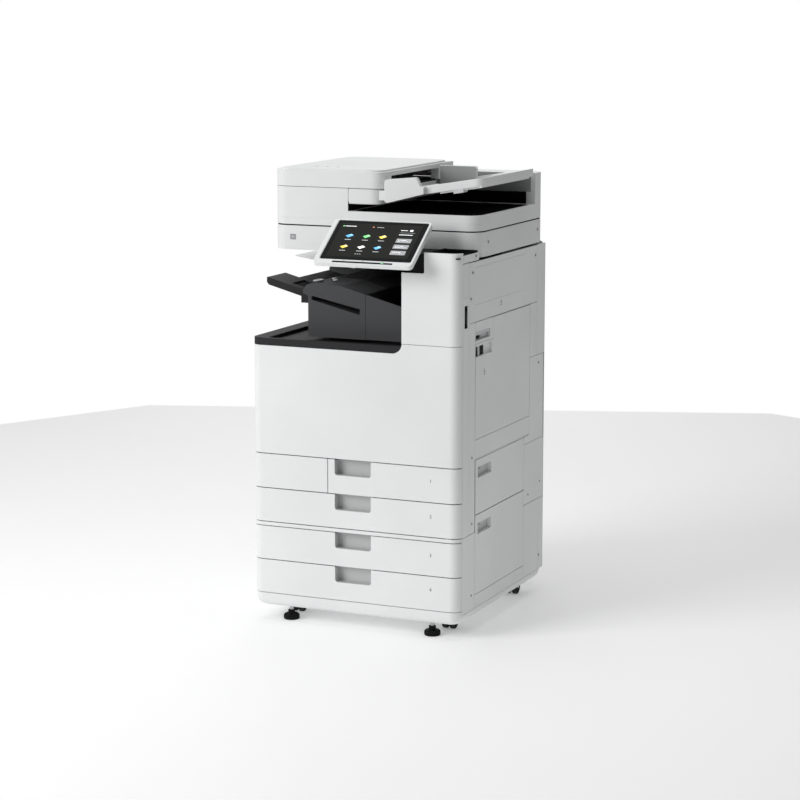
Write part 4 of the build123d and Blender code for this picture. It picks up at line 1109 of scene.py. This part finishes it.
def stack_tray():
    """Sloping stack tray that drops as copies pile up."""
    def top(x):
        return 865 - (x + 293) * TRAY_RUN
    left, right = -293, -155.5
    block_side = [(left, top(left)), (right, top(right)), (right, top(right) - 19),
                  (left + 6, top(left + 6) - 19),
                  (left, top(left) - 14)]
    front_block = bar(soften(block_side, [3, 0, 0, 4, 3]), 111, 213, "y")
    recess = bar([(left + 60, top(left + 60) - 5), (right + 5, top(right + 5) - 5),
                  (right + 5, top(right + 5) + 9),
                  (left + 60, top(left + 60) + 9)], 135, 205, "y")
    plate_side = [(left + 35, top(left + 35) - 3), (right, top(right) - 3), (right, top(right) - 14),
                  (left + 41, top(left + 41) - 14)]
    holder = brick((-191, right), (100, 112), (805, 826))
    solid("stack_plate", "stack_tray", TRAY_BLACK, front_block, add=[bar(plate_side, 212, 400, "y"), holder],
          cut=[recess], edge=1.0, stands_for=("stack_tray",))
    ribs = [bar([(left + 66, top(left + 66) - 5.4), (right - 2, top(right - 2) - 5.4),
                 (right - 2, top(right - 2) - 3.6),
                 (left + 66, top(left + 66) - 3.6)], y, y + 2, "y") for y in (148, 162, 176, 190)]
    solid("stack_ribs", "stack_tray", TRAY_BLACK, ribs[0], add=ribs[1:], edge=0.4)


stack_tray()


def finisher_keys():
    """Staple key and two round keys on the finisher's roof."""
    solid("key_long", "staple_key", KEY_GREY,
          bar(rect(-149, -131, 76, 116, 8, 8), 863.2, 866), edge=0.8, stands_for=("staple_key",))
    solid("key_long_sign", "staple_key", PALE_GREY, brick((-144, -136), (92, 100), (865.9, 866.2)), edge=0)
    for node, x, y in (("round_key_1", -122, 150), ("round_key_2", -104, 118)):
        low, high = (corner[2] for corner in span(node))
        solid(f"{node}_cap", node, SHADE, turned([(6, low), (6, high)], at(x, y, 0), "z", 36), edge=0.7,
              stands_for=(node,))


finisher_keys()

# -------------------------------------------------- repeated pieces by rule
SOCKETS = {"Count": "NodeSocketInt", "Turn": "NodeSocketVector"}


def rule(name, sizes):
    """A node tree that takes points and named sizes, and gives a mesh."""
    tree = bpy.data.node_groups.new(name, "GeometryNodeTree")
    tree.interface.new_socket("Points", in_out="INPUT", socket_type="NodeSocketGeometry")
    for size in sizes:
        tree.interface.new_socket(size, in_out="INPUT", socket_type=SOCKETS.get(size, "NodeSocketFloat"))
    tree.interface.new_socket("Finish", in_out="INPUT", socket_type="NodeSocketMaterial")
    tree.interface.new_socket("Mesh", in_out="OUTPUT", socket_type="NodeSocketGeometry")
    start = tree.nodes.new("NodeGroupInput")
    end = tree.nodes.new("NodeGroupOutput")
    placed = tree.nodes.new("GeometryNodeInstanceOnPoints")
    real = tree.nodes.new("GeometryNodeRealizeInstances")
    coat = tree.nodes.new("GeometryNodeSetMaterial")
    join = tree.links.new
    join(start.outputs["Points"], placed.inputs["Points"])
    join(placed.outputs["Instances"], real.inputs["Geometry"])
    join(real.outputs["Geometry"], coat.inputs["Geometry"])
    join(start.outputs["Finish"], coat.inputs["Material"])
    join(coat.outputs["Geometry"], end.inputs["Mesh"])
    return tree, start, placed


def combine(tree, x, y, z):
    """A vector node fed from three sockets or plain numbers."""
    made = tree.nodes.new("ShaderNodeCombineXYZ")
    for letter, value in zip("XYZ", (x, y, z)):
        if isinstance(value, (int, float)):
            made.inputs[letter].default_value = value
        else:
            tree.links.new(value, made.inputs[letter])
    return made.outputs["Vector"]


def screw_rule():
    """Round screw heads with a cross recess, facing along x."""
    tree, start, placed = rule("screw heads", ("Head Radius", "Head Height", "Recess Width"))
    head = tree.nodes.new("GeometryNodeMeshCylinder")
    head.inputs["Vertices"].default_value = 20
    tree.links.new(start.outputs["Head Radius"], head.inputs["Radius"])
    tree.links.new(start.outputs["Head Height"], head.inputs["Depth"])
    recess = tree.nodes.new("GeometryNodeMeshBoolean")
    recess.operation = "DIFFERENCE"
    recess.solver = "EXACT"
    tree.links.new(head.outputs["Mesh"], recess.inputs["Mesh 1"])
    for order in ((0, 1), (1, 0)):
        slot = tree.nodes.new("GeometryNodeMeshCube")
        sizes = [start.outputs["Head Radius"], start.outputs["Recess Width"]]
        tree.links.new(combine(tree, sizes[order[0]], sizes[order[1]], start.outputs["Head Height"]),
                       slot.inputs["Size"])
        lift = tree.nodes.new("GeometryNodeTransform")
        tree.links.new(slot.outputs["Mesh"], lift.inputs["Geometry"])
        half = tree.nodes.new("ShaderNodeMath")
        half.operation = "MULTIPLY"
        half.inputs[1].default_value = 0.6
        tree.links.new(start.outputs["Head Height"], half.inputs[0])
        tree.links.new(combine(tree, 0.0, 0.0, half.outputs["Value"]), lift.inputs["Translation"])
        tree.links.new(lift.outputs["Geometry"], recess.inputs["Mesh 2"])
    tree.links.new(recess.outputs["Mesh"], placed.inputs["Instance"])
    placed.inputs["Rotation"].default_value = (0, radians(90), 0)
    return tree


def slat_rule():
    """Rows of slanting slats, one stack for every point."""
    tree, start, placed = rule("slats", ("Count", "Pitch", "Slat Width", "Slat Depth", "Slat Thickness"))
    line = tree.nodes.new("GeometryNodeMeshLine")
    tree.links.new(start.outputs["Count"], line.inputs["Count"])
    tree.links.new(combine(tree, 0.0, 0.0, start.outputs["Pitch"]), line.inputs["Offset"])
    slat = tree.nodes.new("GeometryNodeMeshCube")
    tree.links.new(combine(tree, start.outputs["Slat Width"], start.outputs["Slat Depth"],
                           start.outputs["Slat Thickness"]), slat.inputs["Size"])
    stack = tree.nodes.new("GeometryNodeInstanceOnPoints")
    stack.inputs["Rotation"].default_value = (radians(-28), 0, 0)
    tree.links.new(line.outputs["Mesh"], stack.inputs["Points"])
    tree.links.new(slat.outputs["Mesh"], stack.inputs["Instance"])
    tree.links.new(stack.outputs["Instances"], placed.inputs["Instance"])
    return tree


def ring_rule():
    """A ring of ribs round every point, turned to lie across any axis."""
    tree, start, placed = rule("ring of ribs", ("Count", "Ring Radius", "Rib Length", "Rib Width",
                                                "Rib Height", "Turn"))
    circle = tree.nodes.new("GeometryNodeMeshCircle")
    tree.links.new(start.outputs["Count"], circle.inputs["Vertices"])
    tree.links.new(start.outputs["Ring Radius"], circle.inputs["Radius"])
    rib = tree.nodes.new("GeometryNodeMeshCube")
    tree.links.new(combine(tree, start.outputs["Rib Length"], start.outputs["Rib Width"],
                           start.outputs["Rib Height"]), rib.inputs["Size"])
    where = tree.nodes.new("GeometryNodeInputPosition")
    aim = tree.nodes.new("FunctionNodeAlignRotationToVector")
    aim.axis = "X"
    tree.links.new(where.outputs["Position"], aim.inputs["Vector"])
    ring = tree.nodes.new("GeometryNodeInstanceOnPoints")
    tree.links.new(circle.outputs["Mesh"], ring.inputs["Points"])
    tree.links.new(rib.outputs["Mesh"], ring.inputs["Instance"])
    tree.links.new(aim.outputs["Rotation"], ring.inputs["Rotation"])
    tree.links.new(ring.outputs["Instances"], placed.inputs["Instance"])
    turn = tree.nodes.new("FunctionNodeEulerToRotation")
    tree.links.new(start.outputs["Turn"], turn.inputs["Euler"])
    tree.links.new(turn.outputs["Rotation"], placed.inputs["Rotation"])
    return tree


SCREWS = screw_rule()
SLATS = slat_rule()
RINGS = ring_rule()


def repeated(name, body, tree, places, sizes, finish, stands_for=()):
    """Run a rule at some places and keep the result as a plain mesh."""
    data = bpy.data.meshes.new(name)
    data.from_pydata([tuple(at(*place)) for place in places], [], [])
    seed = bpy.data.objects.new(name, data)
    bpy.context.scene.collection.objects.link(seed)
    modifier = seed.modifiers.new("rule", "NODES")
    modifier.node_group = tree
    values = dict(sizes, Finish=finish)
    for socket in tree.interface.items_tree:
        if socket.in_out == "INPUT" and socket.name in values:
            modifier[socket.identifier] = values[socket.name]
    result = bpy.data.meshes.new_from_object(seed.evaluated_get(bpy.context.evaluated_depsgraph_get()))
    seed.modifiers.remove(modifier)
    seed.data = result
    result.shade_smooth()
    result.set_sharp_from_angle(angle=radians(30))
    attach(seed, body)
    if stands_for:
        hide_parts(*stands_for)
    return seed


SCREW_SIZES = {"Head Radius": 3.3 * MM, "Head Height": 1.6 * MM, "Recess Width": 1.1 * MM}
SIDE_SCREW_PLACES = [(80, 282), (80, 448), (80, 905), (70, 842), (510, 905), (555, 300), (470, 280),
                     (80, 100),
                     (555, 100), (540, 620), (180, 971), (521, 971), (100, 944)]
repeated("side_screws", "main_unit", SCREWS, [(HALF + 0.5, y, z) for y, z in SIDE_SCREW_PLACES], SCREW_SIZES,
         BRIGHT,
         ("cover_screws",))

# --------------------------------------------------------------- rear cover
REAR_Y = 650
REAR_HALF = 255
LOUVRE_X = (-190, 110)
LOUVRE_ROWS = 12
LOUVRE_PITCH = 9


def rear_cover():
    """Rear cover with two louvred windows and the power inlet's recess."""
    shell = bar(rect(-REAR_HALF, REAR_HALF, 62, 930, 18, 6), DEPTH + 2, REAR_Y, "y")
    windows = [brick((x, x + 90), (REAR_Y - 8, REAR_Y + 2), (616, 616 + LOUVRE_ROWS * LOUVRE_PITCH + 4), 3)
               for x in LOUVRE_X]
    solid("rear_shell", "main_unit", SHADE, shell,
          add=[brick((-HALF + 0.5, HALF - 0.5), (DEPTH + 0.4, DEPTH + 3.4), (62, 930))],
          cut=[brick((-REAR_HALF + 3, REAR_HALF - 3), (560, REAR_Y - 3), (65, 927))] + windows
          + [brick((175, 225), (REAR_Y - 8, REAR_Y + 2), (100, 145), 2),
             brick((-260, 260), (REAR_Y - 0.8, REAR_Y + 2), (433, 434.4)),
             brick((-260, 260), (REAR_Y - 0.8, REAR_Y + 2), (257, 258.4))],
          edge=2.4, stands_for=("rear_cover",))
    bars = {"Count": LOUVRE_ROWS, "Pitch": LOUVRE_PITCH * MM, "Slat Width": 91 * MM, "Slat Depth": 5.5 * MM,
            "Slat Thickness": 2.0 * MM}
    repeated("rear_louvres", "main_unit", SLATS, [(x + 45, REAR_Y - 3.6, 622) for x in LOUVRE_X], bars, SHADE)


rear_cover()

# -------------------------------------------------------- casters and feet
WHEEL_RADIUS = 19
WHEEL_OUT = 10.2
FRONT_WHEEL = (211, 117)
REAR_WHEEL = (227, 507)
FOOT_PLACE = (195, 41)


def wheel_set(name, body, centres, node):
    """Twin rubber wheels with a ribbed hub, on one or more axles."""
    tyre = [(WHEEL_RADIUS - 2.2, -6), (WHEEL_RADIUS - 0.6, -5.2), (WHEEL_RADIUS, -3.4), (WHEEL_RADIUS, 3.4),
            (WHEEL_RADIUS - 0.6, 5.2), (WHEEL_RADIUS - 2.2, 6)]
    made, places = [], []
    for x, y in centres:
        for side_sign in (-1, 1):
            middle = x + side_sign * WHEEL_OUT
            wheel = loose_object(turned(tyre, at(middle, y, WHEEL_RADIUS), "x", 40))
            dish = [turned([(13.6, 4.2), (13.6, 9)], at(middle, y, WHEEL_RADIUS), "x", 36),
                    turned([(13.6, -9), (13.6, -4.2)], at(middle, y, WHEEL_RADIUS), "x", 36)]
            merge(wheel, dish, "DIFFERENCE")
            merge(wheel, [turned([(5, -5.4), (5, 5.4)], at(middle, y, WHEEL_RADIUS), "x", 24)], "UNION")
            mesh = bmesh.new()
            mesh.from_mesh(wheel.data)
            bpy.data.objects.remove(wheel)
            made.append(mesh)
            places += [(middle - 4.6, y, WHEEL_RADIUS), (middle + 4.6, y, WHEEL_RADIUS)]
    solid(name, body, RUBBER, made[0], add=made[1:], edge=0, stands_for=(node,))
    repeated(f"{name}_ribs", body, RINGS, places,
             {"Count": 8, "Ring Radius": 9 * MM, "Rib Length": 8.6 * MM, "Rib Width": 1.4 * MM,
              "Rib Height": 1.6 * MM,
              "Turn": (0, radians(90), 0)}, BLACK)


for side_name, sign in (("left", -1), ("right", 1)):
    wheel_set(f"caster_wheels_{side_name}", f"front_wheels_{side_name}",
              [(sign * FRONT_WHEEL[0], FRONT_WHEEL[1])],
              f"front_wheels_{side_name}")
wheel_set("caster_wheels_rear", "rear_wheels", [(-REAR_WHEEL[0], REAR_WHEEL[1]),
                                                (REAR_WHEEL[0], REAR_WHEEL[1])],
          "rear_wheels")


def foot(name, node, x, y):
    """Levelling foot: a knurled pad on a threaded stem."""
    pad = turned([(18.6, 0), (20, 1.4), (20, 11), (17.4, 13.6), (9, 14), (9, 23.4), (8.4, 24)], at(x, y, 0),
                 "z", 48)
    solid(f"{name}_stem", node, BRIGHT, turned([(5, 20), (5, 58)], at(x, y, 0), "z", 24), edge=0)
    solid(name, node, BLACK, pad, edge=0, stands_for=(node,))
    repeated(f"{name}_knurl", node, RINGS, [(x, y, 6.2)],
             {"Count": 30, "Ring Radius": 19.9 * MM, "Rib Length": 1.0 * MM, "Rib Width": 1.6 * MM,
              "Rib Height": 8.4 * MM, "Turn": (0, 0, 0)}, BLACK)
    repeated(f"{name}_thread", node, RINGS, [(x, y, z) for z in range(26, 56, 3)],
             {"Count": 16, "Ring Radius": 5.0 * MM, "Rib Length": 0.7 * MM, "Rib Width": 2.0 * MM,
              "Rib Height": 1.2 * MM, "Turn": (0, 0, 0)}, STEEL)


foot("foot_left", "adjuster_left", -FOOT_PLACE[0], FOOT_PLACE[1])
foot("foot_right", "adjuster_right", FOOT_PLACE[0], FOOT_PLACE[1])
for caster in ("front_caster_left", "front_caster_right"):
    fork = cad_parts[caster]
    if not fork.material_slots:
        fork.data.materials.append(BLACK)
    for holder in fork.material_slots:
        holder.material = BLACK
